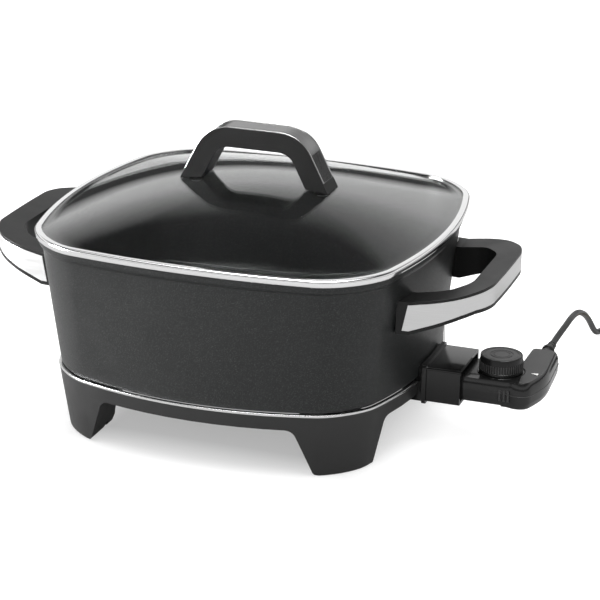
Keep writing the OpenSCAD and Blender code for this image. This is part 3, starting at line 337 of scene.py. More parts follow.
def section(z):
    a, b, t = (SEAM, RIM, (z - SEAM_Z) / (RIM_Z - SEAM_Z)) if z > SEAM_Z else \
        (FOOT, SEAM, max(z, 0) / SEAM_Z)
    return [p * (1 - t) + q * t for p, q in zip(a, b)]


def grown(s, d):
    return [s[0] + d, s[1] + d, max(s[2] + d, 6), s[3], s[4]]


def outline(s):
    """The outline's points, anticlockwise from the middle of the right side."""
    def quarter(hx, hy, r):
        side = [(hx, (hy - r) * i / SIDE_STEPS) for i in range(SIDE_STEPS)]
        for i in range(CORNER_STEPS):
            a = math.pi / 2 * i / CORNER_STEPS
            side.append((hx - r + r * math.cos(a), hy - r + r * math.sin(a)))
        return side + [((hx - r) * (1 - i / SIDE_STEPS), hy) for i in range(SIDE_STEPS)]
    points = []
    for q in range(4):
        hx, hy = (s[0], s[1]) if q % 2 == 0 else (s[1], s[0])
        for x, y in quarter(hx, hy, s[2]):
            for _ in range(q):
                x, y = -y, x
            points.append((x, y))
    return [(x * (1 - s[3] / s[0] * (y / s[1]) ** 2), y * (1 - s[4] / s[1] * (x / s[0]) ** 2))
            for x, y in points]


def ring(s, z):
    return [Vector((x + PAN_X, y, z)) * MM for x, y in outline(s)]


def wall_ring(d, z):
    return ring(grown(section(z), -d), z)


print("outline points:", len(outline(RIM)))

# %% [markdown]
# ## Building and finishing meshes
# A wall is skinned over a stack of rings. Shapes with many small features are merged copies of
# their CAD solids instead, and a narrow bevel rounds their edges, so that they catch the light.


# %% Mesh helpers
def as_mesh(name, bm):
    mesh = bpy.data.meshes.new(name)
    bm.to_mesh(mesh)
    bm.free()
    return mesh


def outward(bm):
    bmesh.ops.recalc_face_normals(bm, faces=bm.faces)
    return bm


def add_object(name, mesh):
    o = bpy.data.objects.new(name, mesh)
    bpy.context.scene.collection.objects.link(o)
    return o


def evaluated_mesh(o):
    """An object's mesh with its modifiers applied."""
    return bpy.data.meshes.new_from_object(
        o.evaluated_get(bpy.context.evaluated_depsgraph_get()))


def add_mesh(name, bm, body, materials, replaced=(), smooth=30):
    return add_piece(name, as_mesh(name, outward(bm)), body, materials, replaced, smooth)


def add_piece(name, mesh, body, materials, replaced=(), smooth=30):
    o = add_object(name, mesh)
    mesh.materials.clear()
    for m in materials:
        mesh.materials.append(m)
    mesh.set_sharp_from_angle(angle=math.radians(smooth))
    for f in mesh.polygons:
        f.use_smooth = True
    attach(o, body)
    if replaced:
        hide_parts(*replaced)
    return o


def circle(at, side, up, radius, sides):
    """Points round a circle, from a unit vector each way across it."""
    angles = [2 * math.pi * k / sides for k in range(sides)]
    return [at + radius * (side * math.cos(a) + up * math.sin(a)) for a in angles]


def skinned(rings, **how):
    bm = bmesh.new()
    skin(bm, rings, **how)
    return bm


def skin(bm, rings, loop=False, slot=0):
    """Faces between rings of equal length; closed at both ends, or joined end to end."""
    rows = [[bm.verts.new(p) for p in r] for r in rings]
    n, m = len(rows[0]), len(rows)
    faces = []
    for j in range(m if loop else m - 1):
        a, b = rows[j], rows[(j + 1) % m]
        for i in range(n):
            k = (i + 1) % n
            faces.append(bm.faces.new((a[i], a[k], b[k], b[i])))
    if not loop:
        for row in (rows[0], rows[-1]):
            mid = bm.verts.new(sum((v.co for v in row), Vector()) / n)
            faces += [bm.faces.new((row[i], row[(i + 1) % n], mid)) for i in range(n)]
    for f in faces:
        f.material_index = slot
    return faces


def softened(points, radius, steps=5):
    """A profile of (inset, height) points with its inner corners rounded."""
    out = [Vector(points[0])]
    for a, c, b in zip(points, points[1:], points[2:]):
        a, b, c = Vector(a), Vector(b), Vector(c)
        r = min(radius, (a - c).length * 0.45, (b - c).length * 0.45)
        p, q = c + (a - c).normalized() * r, c + (b - c).normalized() * r
        out += [p * (1 - t) ** 2 + c * 2 * t * (1 - t) + q * t * t
                for t in [i / steps for i in range(steps + 1)]]
    return out + [Vector(points[-1])]


def merged_copy(node_name):
    """A bmesh copy of a CAD node with its loose triangles joined up."""
    bm = bmesh.new()
    bm.from_mesh(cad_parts[node_name].data)
    bmesh.ops.remove_doubles(bm, verts=bm.verts, dist=0.00002)
    bmesh.ops.dissolve_degenerate(bm, edges=bm.edges, dist=0.00001)
    return bm


def drilled(mesh, drills):
    """The mesh with the drills' solids taken out of it."""
    o, c = add_object("part", mesh), add_object("drills", as_mesh("drills", outward(drills)))
    m = o.modifiers.new("holes", "BOOLEAN")
    m.operation, m.object, m.solver, m.use_self = "DIFFERENCE", c, "EXACT", True
    done = evaluated_mesh(o)
    for x in (o, c):
        bpy.data.objects.remove(x)
    return done


FLAT_ENOUGH = math.radians(0.4)     # faces this close to one plane are joined


def refine(node_name, name, body, material, width=0.4, segments=2, angle=35, cut=None):
    """Replaces a CAD node by its merged copy with bevelled edges, less what the cut takes off."""
    bm = merged_copy(node_name)
    bmesh.ops.dissolve_limit(bm, angle_limit=FLAT_ENOUGH, verts=bm.verts, edges=bm.edges)
    mesh = as_mesh(name, bm)
    if cut:
        mesh = drilled(mesh, cut)
    o = add_piece(name, mesh, body, [material], [node_name], angle)
    if width:
        b = o.modifiers.new("edges", "BEVEL")
        b.width, b.segments = width * MM, segments
        b.limit_method, b.angle_limit = "ANGLE", math.radians(angle)
        b.harden_normals = True
        b.use_clamp_overlap = True
    return o


def lathe(bm, at, profile, axis="Z", sides=48, loop=False, slot=0):
    """Turns (radius, along) points in mm round an axis through a place; open ends are capped."""
    at, x = Vector(at) * MM, Vector((1, 0, 0))
    y, along = (Vector(v) for v in (((0, 1, 0), (0, 0, 1)) if axis == "Z" else
                                    ((0, 0, -1), (0, 1, 0))))
    skin(bm, [circle(at + along * h * MM, x, y, r * MM, sides) for r, h in profile],
         loop=loop, slot=slot)


def turned(at, profile, **how):
    bm = bmesh.new()
    lathe(bm, at, profile, **how)
    return bm


def middle(node_name):
    """The middle of a CAD node's box and its lowest and highest points, in millimetres."""
    lo, hi = (Vector(c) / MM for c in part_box(node_name))
    return (lo + hi) / 2, lo, hi


# %% [markdown]
# ## Cord
# A short, medium-stiff mains lead, 5 mm thick. It leaves the controller's strain relief towards
# the back, sinks to the table, turns once and runs to a small storage coil, tied, with the plug
# on top. The whole lead is one curve, so its length can be measured.

# %% Cord route
CORD_D = 0.005
CORD_REST, RELIEF_Z = 2.6, 50.9      # heights of the cord's middle on the table and at the relief
CORD_FROM = (200.0, 82.0)
ROUTE = [
    (0, -3, 1), (0.1, 12, 1.015), (0.6, 26, 1.033), (1.1, 40, 1.045), (1.2, 54, 1.05),
    (1.2, 66, 1.035), (1.2, 78, 0.997), (1.2, 90, 0.927), (1.2, 102, 0.83), (1.2, 113, 0.722),
    (1.2, 123, 0.602), (1.2, 132, 0.481), (1.2, 140, 0.362), (1.3, 147.5, 0.247),
    (1.4, 154.5, 0.145), (1.7, 161.5, 0.068), (2.4, 169, 0.02), (4.2, 177, 0), (7.6, 184, 0),
    (12.6, 189.6, 0), (19, 193.2, 0), (26.4, 194.8, 0), (37, 195, 0.008)]
COIL = (255.0, 246.85, 1.0)
# Turns of the coil: (clockwise degrees from its back, radius, height of the middle)
TURNS = [(0, 30.15, 2.55), (310, 30.15, 2.55), (335, 27.6, 2.55), (360, 24.85, 2.55),
         (610, 24.85, 2.55), (640, 25.8, 4.6), (665, 27.3, 6.9), (695, 27.5, 7.65),
         (720, 27.5, 7.45), (745, 27.5, 7.0), (950, 27.5, 7.0)]
COIL_STEP, COIL_END = 15, 956        # degrees between points, and where the turns stop
COIL_EXIT = (-27.5, 0, 8.2)
LEAD = [(-25.8, 9.4, 9.6), (-21.1, 17.7, 11.2), (-13.8, 23.8, 12.5), (-5.7, 26.9, 13.1),
        (3, 27.5, 13.6), (11, 27.5, 14), (19, 27.5, 14.3), (27.5, 25.6, 14.7), (34.3, 20.4, 15.3),
        (38.3, 12.7, 16), (38.7, 4, 16.6), (35.4, -4, 17.1), (29, -9.8, 17.5), (23, -12.1, 17.7),
        (16.2, -12.5, 17.7)]


def coil_point(turn_angle):
    for (a, r0, z0), (b, r1, z1) in zip(TURNS, TURNS[1:]):
        if turn_angle <= b:
            t = (turn_angle - a) / (b - a)
            t = t * t * (3 - 2 * t)
            r, z = r0 + (r1 - r0) * t, z0 + (z1 - z0) * t
            break
    w = math.radians(turn_angle)
    return (COIL[0] + r * math.sin(w), COIL[1] + r * math.cos(w), COIL[2] + z)


def cord_points():
    path = [(CORD_FROM[0] + x, CORD_FROM[1] + y, CORD_REST + (RELIEF_Z - CORD_REST) * s)
            for x, y, s in ROUTE]
    path += [coil_point(a) for a in range(0, COIL_END, COIL_STEP)]
    path.append(tuple(c + d for c, d in zip(COIL, COIL_EXIT)))
    path += [(COIL[0] + x, COIL[1] + y, COIL[2] + z) for x, y, z in LEAD]
    return [Vector(p) * MM for p in path]


def smooth_path(points, parts=3):
    """Extra points on a Catmull-Rom curve through the route's own points."""
    out = []
    for i in range(len(points) - 1):
        p0, p1 = points[max(i - 1, 0)], points[i]
        p2, p3 = points[i + 1], points[min(i + 2, len(points) - 1)]
        for k in range(parts):
            t = k / parts
            out.append(0.5 * ((2 * p1) + (p2 - p0) * t + (2 * p0 - 5 * p1 + 4 * p2 - p3) * t ** 2
                              + (3 * p1 - p0 - 3 * p2 + p3) * t ** 3))
    return out + [points[-1]]


def path_length(points):
    return sum((b - a).length for a, b in zip(points, points[1:]))


# %% Cord mesh and facts
def tube_mesh(points, radius, sides=12):
    rings, side = [], None
    for i, p in enumerate(points):
        t = (points[min(i + 1, len(points) - 1)] - points[max(i - 1, 0)]).normalized()
        side = (side if side else t.cross(Vector((0, 0, 1))))
        side = (side - t * side.dot(t)).normalized()
        rings.append(circle(p, side, t.cross(side), radius, sides))
    return skinned(rings)


def wire_rings(points, radius, sides=8):
    """Rings of a thin wire round a closed loop of points."""
    n, rings = len(points), []
    for i, p in enumerate(points):
        t = (points[(i + 1) % n] - points[i - 1]).normalized()
        side = t.cross(Vector((0, 1, 0)) if abs(t.y) < 0.9 else Vector((1, 0, 0))).normalized()
        rings.append(circle(p, side, t.cross(side), radius, sides))
    return rings


CORD_PATH = smooth_path(cord_points())
plug = refine("plug", "mains_plug", "controller", CORD_PVC, 0.8, 3)
blades = refine("plug_blades", "mains_blades", "controller", BRASS, 0.3)
tie = refine("cord_tie", "coil_tie", "controller", RUBBER, 0.3, 2)
cord = add_mesh("power_cord", tube_mesh(CORD_PATH, CORD_D / 2), "controller",
                [CORD_PVC], ["cord", "cord_coil", "cord_lead"])
print("cord length", round(path_length(CORD_PATH), 3), "m")

# %% [markdown]
# ## Pan
# A deep die-cast pan with a dark metallic coat outside and non-stick inside. Its wall is one skin
# over a profile: under the floor, up the side, round the rim and down the inside. Two finishes
# share the mesh, and bosses and lugs take the screws.

# %% Pan
# (inset, height) round the outside and the inside
OUTER = [(30, 51.5), (2.2, 51.5), (1.7, 52.2), (1.6, 54), (3.2, 147), (1.3, 149), (0.8, 150.6),
         (0.8, 154)]
INNER = [(0.8, 154), (4.2, 154), (6.4, 147), (5.2, 66.5), (8.2, 58), (22, 56.5)]
BOSSES = [(92.5 * sx, 90.5 * sy) for sx in (-1, 1) for sy in (-1, 1)] + \
    [(121.5, 22.5), (121.5, -22.5)]
BOSS_Z, BOSS_R, BOSS_HOLE_R = (44.8, 51.6), 5, 2.05
LUG_X, LUG_Y, LUG_Z = (140, 155.5), (63.5, 73.5), (111.5, 123.5)


def tall_steps(profile, longest=14):
    """The same profile with long straight stretches divided."""
    out = [profile[0]]
    for a, b in zip(profile, profile[1:]):
        n = max(1, math.ceil((b - a).length / longest))
        out += [a.lerp(b, i / n) for i in range(1, n + 1)]
    return out


def add_box(bm, lo, hi):
    for v in bmesh.ops.create_cube(bm, size=1)["verts"]:
        v.co = Vector([(l + h) / 2 + c * (h - l) for c, l, h in zip(v.co, lo, hi)]) * MM


def add_sleeve(bm, x, y, z0, z1, outer, inner):
    """An upright tube, closed at both ends by rings."""
    across, back = Vector((1, 0, 0)), Vector((0, 1, 0))
    skin(bm, [circle(Vector((x, y, z)) * MM, across, back, r * MM, 32)
              for r, z in ((outer, z0), (outer, z1), (inner, z1), (inner, z0))], loop=True)


def make_pan():
    bm = bmesh.new()
    outside = tall_steps(softened(OUTER, 2.2))
    inside = tall_steps(softened(INNER, 7))
    n = len(outside)
    faces = skin(bm, [wall_ring(d, z) for d, z in outside + inside[1:]])
    around = len(outline(RIM))
    for i, f in enumerate(faces[:(n + len(inside) - 2) * around]):
        f.material_index = 1 if i >= (n - 1) * around else 0
    for f in faces[-around:]:
        f.material_index = 1
    for x, y in BOSSES:
        add_sleeve(bm, x + PAN_X, y, *BOSS_Z, BOSS_R, BOSS_HOLE_R)
    for sx in (-1, 1):
        for sy in (-1, 1):
            xs, ys = sorted(sx * x for x in LUG_X), sorted(sy * y for y in LUG_Y)
            add_box(bm, (xs[0] + PAN_X, ys[0], LUG_Z[0]), (xs[1] + PAN_X, ys[1], LUG_Z[1]))
    return add_mesh("pan_body", bm, "skillet", [PAN_COAT, NON_STICK], ["pan"])


pan = make_pan()
print("pan faces:", len(pan.data.polygons))

# %% [markdown]
# ## Base
# The moulded base clips under the pan on four legs. Its shape comes from the CAD solid, with a
# fine bevel and the corners of its feet rounded. A bright trim line runs in the seam above it: a
# small node tree sweeps a rounded profile along the outline, and stops at the terminal guard.

# %% Base
# Axis, half openings between the legs at foot and skirt, and the radius at the foot's corner
OPENINGS = ((0, 89.0, 75.0, 5.0), (1, 79.0, 75.0, 3.5))
SKIRT_BOTTOM = 38.0
CUT_FROM, CUT_TO, CUT_OUT, ARC_STEPS = 60, 170, 1.5, 7
CLEAR = 0.03        # keeps the cut's ends off the surface


def corner_cut(p, t, w, radius, reach):
    """Points of a shape that takes the corner at p, between the ways t and w, to a radius."""
    half = t.angle(w) / 2
    ahead = (t + w).normalized()
    centre, run = p + ahead * radius / math.sin(half), radius / math.tan(half)
    out_t, out_w = (p + t * run - centre) / radius, (p + w * run - centre) / radius
    arc = []
    for i in range(ARC_STEPS + 1):
        v = (out_t * (ARC_STEPS - i) + out_w * i).normalized()
        arc.append(centre + v * radius)
    arc[0] += out_t * CLEAR
    arc[-1] += out_w * CLEAR
    return [arc[0] + out_t * reach] + arc + [arc[-1] + out_w * reach, p - ahead * reach * 2]


def foot_corners():
    """Solids that take the corners of the feet, under the openings, to a radius."""
    bm = bmesh.new()
    for axis, foot, top, radius in OPENINGS:
        for sign in (-1, 1):
            up = Vector(((top - foot) * sign, SKIRT_BOTTOM)).normalized()
            shape = corner_cut(Vector((sign * foot, 0)), Vector((sign, 0)), up, radius,
                               CUT_OUT)
            for side in (-1, 1):
                skin(bm, [[Vector((q.x + PAN_X, side * far, q.y)) * MM if axis == 0 else
                           Vector((side * far + PAN_X, q.x, q.y)) * MM for q in shape]
                          for far in (CUT_FROM, CUT_TO)])
    return bm


base = refine("base_frame", "base_moulding", "skillet", BASE_PLASTIC, 0.8, 3,
              cut=foot_corners())
print("base faces:", len(base.data.polygons))


# %% Geometry trees: how each starts and ends
def new_tree(name, output, **inputs):
    """A geometry tree with inputs, listed by their kind, and one shape put out."""
    g = bpy.data.node_groups.new(name, "GeometryNodeTree")
    for kind, labels in inputs.items():
        for label in labels:
            g.interface.new_socket(label, in_out="INPUT", socket_type="NodeSocket" + kind)
    g.interface.new_socket(output, in_out="OUTPUT", socket_type="NodeSocketGeometry")
    return g, g.nodes.new("NodeGroupInput"), g.nodes.new("NodeGroupOutput")


def finished(g, shape, i, o):
    """Realizes a tree's shape, gives it the Finish and puts it out."""
    whole = node(g, "GeometryNodeRealizeInstances", {0: shape})
    done = node(g, "GeometryNodeSetMaterial", {"Geometry": whole.outputs[0],
                                               "Material": i.outputs["Finish"]})
    g.links.new(done.outputs[0], o.inputs[0])
    return g


# %% Node tree: a rounded strip swept along a path
def strip_tree():
    g, i, o = new_tree("swept_strip", "Strip", Geometry=["Path"],
                       Float=["Width", "Height", "Rounding"], Material=["Finish"])
    path = node(g, "GeometryNodeMeshToCurve", {"Mesh": i.outputs["Path"]})
    upright = node(g, "GeometryNodeSetCurveNormal", {"Curve": path.outputs[0]}, mode="Z_UP")
    shape = node(g, "GeometryNodeCurvePrimitiveQuadrilateral",
                 {"Width": i.outputs["Width"], "Height": i.outputs["Height"]})
    corners = node(g, "GeometryNodeFilletCurve", {
        "Curve": shape.outputs[0], "Radius": i.outputs["Rounding"]}, mode="POLY")
    corners.inputs["Count"].default_value = 4
    swept = node(g, "GeometryNodeCurveToMesh", {
        "Curve": upright.outputs[0], "Profile Curve": corners.outputs[0], "Fill Caps": True})
    return finished(g, swept.outputs[0], i, o)


def grown_by_nodes(name, tree, verts, edges, body, slot, replaced=(), smooth=30, **values):
    """Runs a node tree on points or a path and keeps the result as a plain mesh."""
    seed = bpy.data.meshes.new(name + "_path")
    seed.from_pydata([tuple(v) for v in verts], edges, [])
    o = add_object(name + "_path", seed)
    mod = o.modifiers.new("made", "NODES")
    mod.node_group = tree
    ids = {s.name: s.identifier for s in tree.interface.items_tree if s.in_out == "INPUT"}
    for k, v in values.items():
        mod[ids[k.replace("_", " ")]] = v
    mesh = evaluated_mesh(o)
    bpy.data.objects.remove(o)
    finish = [m for m in mesh.materials if m] or [None]
    mesh.name = name
    bm = bmesh.new()
    bm.from_mesh(mesh)
    outward(bm).to_mesh(mesh)
    bm.free()
    return add_piece(name, mesh, body, finish, replaced, smooth)


STRIP_TREE = strip_tree()

# %% Seam trim
GUARD_HALF = 27.0
TRIM_IN, TRIM_W, TRIM_H, TRIM_ROUND = 0.95, 3.3, 2.0, 0.5


def seam_path():
    """The seam outline from one side of the guard round to the other."""
    ring_points = wall_ring(TRIM_IN, SEAM_Z)
    start = next(i for i, p in enumerate(ring_points) if p.y > GUARD_HALF * MM)
    count = len(ring_points)
    order = [ring_points[(start + i) % count] for i in range(count)]
    return [p for p in order if not (p.x > 0 and abs(p.y) < GUARD_HALF * MM)]


path = seam_path()
links = [(i, i + 1) for i in range(len(path) - 1)]
trim = grown_by_nodes("seam_trim_line", STRIP_TREE, path, links, "skillet", "bright_chrome",
                      ["seam_trim"], Width=TRIM_W * MM, Height=TRIM_H * MM,
                      Rounding=TRIM_ROUND * MM, Finish=TRIM_CHROME)
heights = [v.co.z / MM for v in trim.data.vertices]
print("seam trim from", round(min(heights), 2), "to", round(max(heights), 2), "mm high,",
      len(trim.data.polygons), "faces")

# %% [markdown]
# ## Lid
# A shallow tempered-glass dome, squarish at its edge and oval in the middle, with a rolled steel
# band folded round the edge. Both are skinned over rings of the rim outline; the band is a true
# U section, so the glass sits inside it.

# %% Lid glass and band
GLASS = grown(RIM, -0.75)
GLASS_LOW, GLASS_T, DOME_H, DOME_FLAT = 155.15, 3.5, 26.5, 0.965
SCREW_X, SCREW_HOLE_R = 50.75, 3
INNERMOST, GLASS_RINGS, EDGE_SHARE, EDGE_ROUND = 0.03, 34, 0.997, 0.5


def dome(k):
    return 0 if k > DOME_FLAT else DOME_H * (1 - (k / DOME_FLAT) ** 2)


def glass_ring(k, z):
    edge = outline(GLASS)
    points = []
    for i, (x, y) in enumerate(edge):
        a = 2 * math.pi * i / len(edge)
        ox, oy = GLASS[0] * math.cos(a), GLASS[1] * math.sin(a)
        t = k * k
        points.append(Vector((k * (ox + (x - ox) * t) + PAN_X, k * (oy + (y - oy) * t), z)) * MM)
    return points


def make_glass():
    shares = [INNERMOST + (1 - INNERMOST) * (i / GLASS_RINGS) ** 0.85
              for i in range(GLASS_RINGS)] + [EDGE_SHARE]
    rings = [glass_ring(k, GLASS_LOW + dome(k)) for k in shares]
    rings += [glass_ring(1, GLASS_LOW + d) for d in (EDGE_ROUND, GLASS_T - EDGE_ROUND)]
    rings += [glass_ring(k, GLASS_LOW + GLASS_T + dome(k)) for k in reversed(shares)]
    mesh = as_mesh("glass_dome", outward(skinned(rings)))
    drills = bmesh.new()
    for sx in (-1, 1):
        lathe(drills, (PAN_X + sx * SCREW_X, 0, 170),
              [(SCREW_HOLE_R, 0), (SCREW_HOLE_R, 30)], sides=40)
    return add_piece("glass_dome", drilled(mesh, drills), "lid", [CLEAR_GLASS],
                     ["lid_glass"], 60)


BAND = [(4.2, 154.4), (0.6, 154.4), (0, 155.6), (0, 158.4), (0.9, 159.6), (4.6, 159.6),
        (4.6, 158.85), (0.65, 158.85), (0.65, 155.0), (4.2, 155.0)]


def make_band():
    profile = softened(BAND[:6], 1.0, 4) + [Vector(p) for p in BAND[6:]]
    bm = skinned([ring(grown(RIM, -d), z) for d, z in profile], loop=True)
    return add_mesh("rolled_band", bm, "lid", [POLISHED], ["lid_band"], 40)


dome_glass, band = make_glass(), make_band()
print("glass faces:", len(dome_glass.data.polygons), "band faces:", len(band.data.polygons))

# %% Lid handle
ARCH_EYE_Z = 0.17       # a height inside the arch, in metres, that its outline is walked round
EDGING_R, SIDE_DEPTH = 0.5, 0.3
refine("lid_handle", "lid_arch", "lid", HANDLE_PLASTIC, 0.7, 3, 30)
strip = refine("lid_handle_strip", "lid_arch_strip", "lid", STRIP_STEEL,
               0.15, 2, 30)


def strip_outline(mesh):
    """Round the strip's outer face: its front edge from end to end, then its back edge."""
    sides = []
    for pick in (min, max):
        y = pick(v.co.y for v in mesh.vertices)
        flat = [Vector((v.co.x, v.co.z)) for v in mesh.vertices
                if abs(v.co.y - y) < SIDE_DEPTH * MM]
        hull = [flat[i] for i in convex_hull_2d(flat)]
        hull = sorted(hull, key=lambda p: math.atan2(p.x - PAN_X * MM, p.y - ARCH_EYE_Z))
        sides.append([Vector((p.x, y, p.y)) for p in hull])
    return sides[0] + sides[1][::-1]


loop = strip_outline(strip.data)
print("strip outline", len(loop), "points")
add_mesh("lid_arch_edging", skinned(wire_rings(loop, EDGING_R * MM), loop=True), "lid",
         [EDGING_STEEL], [], 60)
print("lid handle refined")

# %% [markdown]
# ## Side handles, guard and controller
# These mouldings keep their CAD shapes. Each is merged and bevelled: soft on the thick handles,
# tighter on the glossy guard and the controller's two shells.

# %% Handles, guard and shells
for side in ("right", "left"):
    refine("handle_" + side, "side_handle_" + side, "skillet", HANDLE_PLASTIC,
           0.7, 3, 30)
    refine("handle_inlay_" + side, "side_inlay_" + side, "skillet",
           INLAY_STEEL, 0.2, 2, 30)
refine("terminal_guard", "guard_box", "skillet", GLOSS_PLASTIC, 0.9, 4, 30)
for part, name, slot in (("upper", "control_top", "black_gloss"),
                         ("lower", "control_bottom", "black_plastic")):
    refine("controller_" + part + "_shell", name, "controller", SHELL_PLASTIC, 0.3, 2, 30)
refine("controller_top_plate", "control_plate", "controller", PLATE_PAINT, 0.15)
print("mouldings refined")


# %% Controller's parting line and grip ribs
PARTING_Z, PARTING_FROM, PARTING_R = 46.2, 157, 0.35
GRIPS = [(185.1, -22), (188.4, -22), (191.7, -22.5)]
GRIP_HALF, GRIP_OUT, GRIP_IN, GRIP_Z = 0.7, 0.6, 0.3, (40.6, 49.4)


def parting_line(node_name, z, from_x):
    """The longest outline at height z on a CAD node, from x onwards, as an open path."""
    bm = merged_copy(node_name)
    at = [e for e in bm.edges if all(abs(v.co.z - z * MM) < 0.05 * MM for v in e.verts)
          and any(abs(f.normal.z) < 0.5 for f in e.link_faces)]
    near = {}
    for e in at:
        a, b = [(round(v.co.x, 6), round(v.co.y, 6)) for v in e.verts]
        if min(a[0], b[0]) > from_x * MM:
            near.setdefault(a, set()).add(b)
            near.setdefault(b, set()).add(a)
    bm.free()
    paths, left = [], set(near)
    while left:
        ends = sorted(p for p in left if len(near[p] & left) <= 1) or sorted(left)
        path = [ends[0]]
        left.discard(ends[0])
        while near[path[-1]] & left:
            path.append(sorted(near[path[-1]] & left)[0])
            left.discard(path[-1])
        paths.append(path)
    best = max(paths, key=lambda q: sum(math.dist(a, b) for a, b in zip(q, q[1:])))
    return [Vector((x, y, z * MM)) for x, y in best]


line = parting_line("controller_upper_shell", PARTING_Z, PARTING_FROM)
print("parting line", len(line), "points", round(path_length(line) / MM), "mm")
# The parting line and the grip ribs are in the lighter plastic, a painted highlight
add_mesh("control_seam_line", tube_mesh(line, PARTING_R * MM, 8), "controller",
         [PAINTED_HIGHLIGHT_PLASTIC])
bm = bmesh.new()
for x, y in GRIPS:
    add_box(bm, (x - GRIP_HALF, y - GRIP_OUT, GRIP_Z[0]), (x + GRIP_HALF, y + GRIP_IN, GRIP_Z[1]))
add_mesh("control_grip_ribs", bm, "controller", [PAINTED_HIGHLIGHT_PLASTIC])

# %% [markdown]
# ## Dial
# The knob is turned from one profile. Its grip ribs repeat, so a node tree sets one slim bar at
# each point of a ring; the bars are lighter than the knob, a painted highlight. The cap carries
# turned grooves, two raised rings and one pointer dot; the rings are lighter than the face, a
# painted highlight too. The seat is a glossy stepped washer.

# %% Node tree: bars round a ring
def rib_tree():
    g, i, o = new_tree("ribs_round_a_ring", "Ribs", Geometry=["Seed"], Int=["Count"],
                       Float=["Radius", "Depth", "Width", "Height"], Vector=["Centre"],
                       Material=["Finish"])
    ring_points = node(g, "GeometryNodeMeshCircle", {"Vertices": i.outputs["Count"],
                                                     "Radius": i.outputs["Radius"]})
    size = node(g, "ShaderNodeCombineXYZ", {0: i.outputs["Depth"], 1: i.outputs["Width"],
                                            2: i.outputs["Height"]})
    bar = node(g, "GeometryNodeMeshCube", {"Size": size.outputs[0]})
    place = node(g, "GeometryNodeInputPosition")
    turn = node(g, "FunctionNodeAlignRotationToVector", {"Vector": place.outputs[0]}, axis="X",
                pivot_axis="Z")
    bars = node(g, "GeometryNodeInstanceOnPoints", {"Points": ring_points.outputs[0],
                "Instance": bar.outputs["Mesh"], "Rotation": turn.outputs[0]})
    moved = node(g, "GeometryNodeTransform", {"Geometry": bars.outputs[0],
                                              "Translation": i.outputs["Centre"]})
    return finished(g, moved.outputs[0], i, o)


RIB_TREE = rib_tree()
print("tree ready:", RIB_TREE.name)

# %% Knob, ribs, cap and seat
KNOB = [(13.75, 0), (16.45, 0), (16.75, 0.3), (16.75, 1.7), (16.45, 2), (16, 2.15), (15.95, 2.6),
        (15.95, 11.9), (15.8, 12.3), (15.45, 12.5), (15.05, 12.5), (14.8, 12.35), (14.75, 11.75),
        (3.12, 11.75), (3.12, 9.5), (13.75, 9.5)]
CAP_TOP = [(14.65, 0), (14.65, 0.5), (14.5, 0.65), (13.2, 0.65), (13.1, 0.35), (12.6, 0.35),
           (12.5, 0.6), (8.9, 0.62), (8.8, 0.3), (8.3, 0.3), (8.2, 0.62), (6.3, 0.64),
           (6.2, 0.36), (5.8, 0.36), (5.7, 0.64), (0.4, 0.66)]
SEAT = [(4.1, 0), (17.75, 0), (17.75, 0.5), (17.45, 0.8), (15.35, 0.8), (15.25, 1.2), (14.95, 1.4),
        (4.1, 1.4)]
CAP_RINGS, RING_W, RING_H, TOP_Z = (7.4, 13.9), 0.45, 0.22, 12.3
POINTER_AT, RIBS_Z, CAP_Z = (-2.2, -6), 3.9, 11.78


def make_dial():
    mid, low, _ = middle("dial_knob")
    foot = (mid.x, mid.y, low.z)
    add_mesh("dial_body", turned(foot, KNOB, sides=96, loop=True), "dial",
             [DIAL_PLASTIC], ["dial_knob"], 40)
    # The ribs are in the lighter plastic, a painted highlight
    grown_by_nodes("dial_ribs", RIB_TREE, [(0, 0, 0)], [], "dial", "black_plastic", (), 30,
                   Count=52, Radius=16.1 * MM, Depth=1.1 * MM, Width=0.8 * MM, Height=7.6 * MM,
                   Centre=(mid.x * MM, mid.y * MM, (low.z + RIBS_Z) * MM), Finish=PAINTED_HIGHLIGHT_PLASTIC)
    bm = turned((mid.x, mid.y, low.z + CAP_Z), CAP_TOP, sides=96)
    lathe(bm, (mid.x + POINTER_AT[0], mid.y + POINTER_AT[1], low.z + TOP_Z),
          [(0.7, 0), (0.7, 0.2), (0.4, 0.3)], sides=16, slot=1)
    # The raised rings take the light grey finish, a painted highlight
    for r in CAP_RINGS:
        lathe(bm, (mid.x, mid.y, low.z + TOP_Z),
              [(r, 0), (r, RING_H), (r + RING_W, RING_H), (r + RING_W, 0)],
              sides=96, loop=True, slot=2)
    add_mesh("dial_face_disc", bm, "dial", [DIAL_FACE, LENS, DIAL_RING_HIGHLIGHT],
             ["dial_cap"], 30)
    mid, low, _ = middle("dial_seat")
    bm = turned((mid.x, mid.y, low.z), SEAT, sides=96, loop=True)
    add_mesh("dial_seat_ring", bm, "controller", [GLOSS_PLASTIC], ["dial_seat"], 30)


make_dial()
print("dial built")

# %% [markdown]
# ## Strain relief
# The relief is turned round the cord's way out: a round flange at the shell, a second flange on
# its sleeve and two slim collars, ending just wider than the cord.

# %% Strain relief
RELIEF = [(2.5, -4.9), (3.1, -4.9), (3.1, 0.15), (4.1, 0.15), (4.5, 0.6), (4.5, 1.9), (4.1, 2.35),
          (3.7, 2.5), (3.6, 7.9), (4.4, 8.2), (4.9, 8.8), (4.9, 10.8), (4.4, 11.4), (3.5, 11.7),
          (3.2, 16.6), (3.5, 16.9), (3.5, 18.6), (3.1, 18.9), (2.9, 21.4), (3.3, 21.7), (3.3, 23.2),
          (2.9, 23.7), (2.5, 23.9)]
RELIEF_IN = 5       # how far the CAD solid reaches into the shell


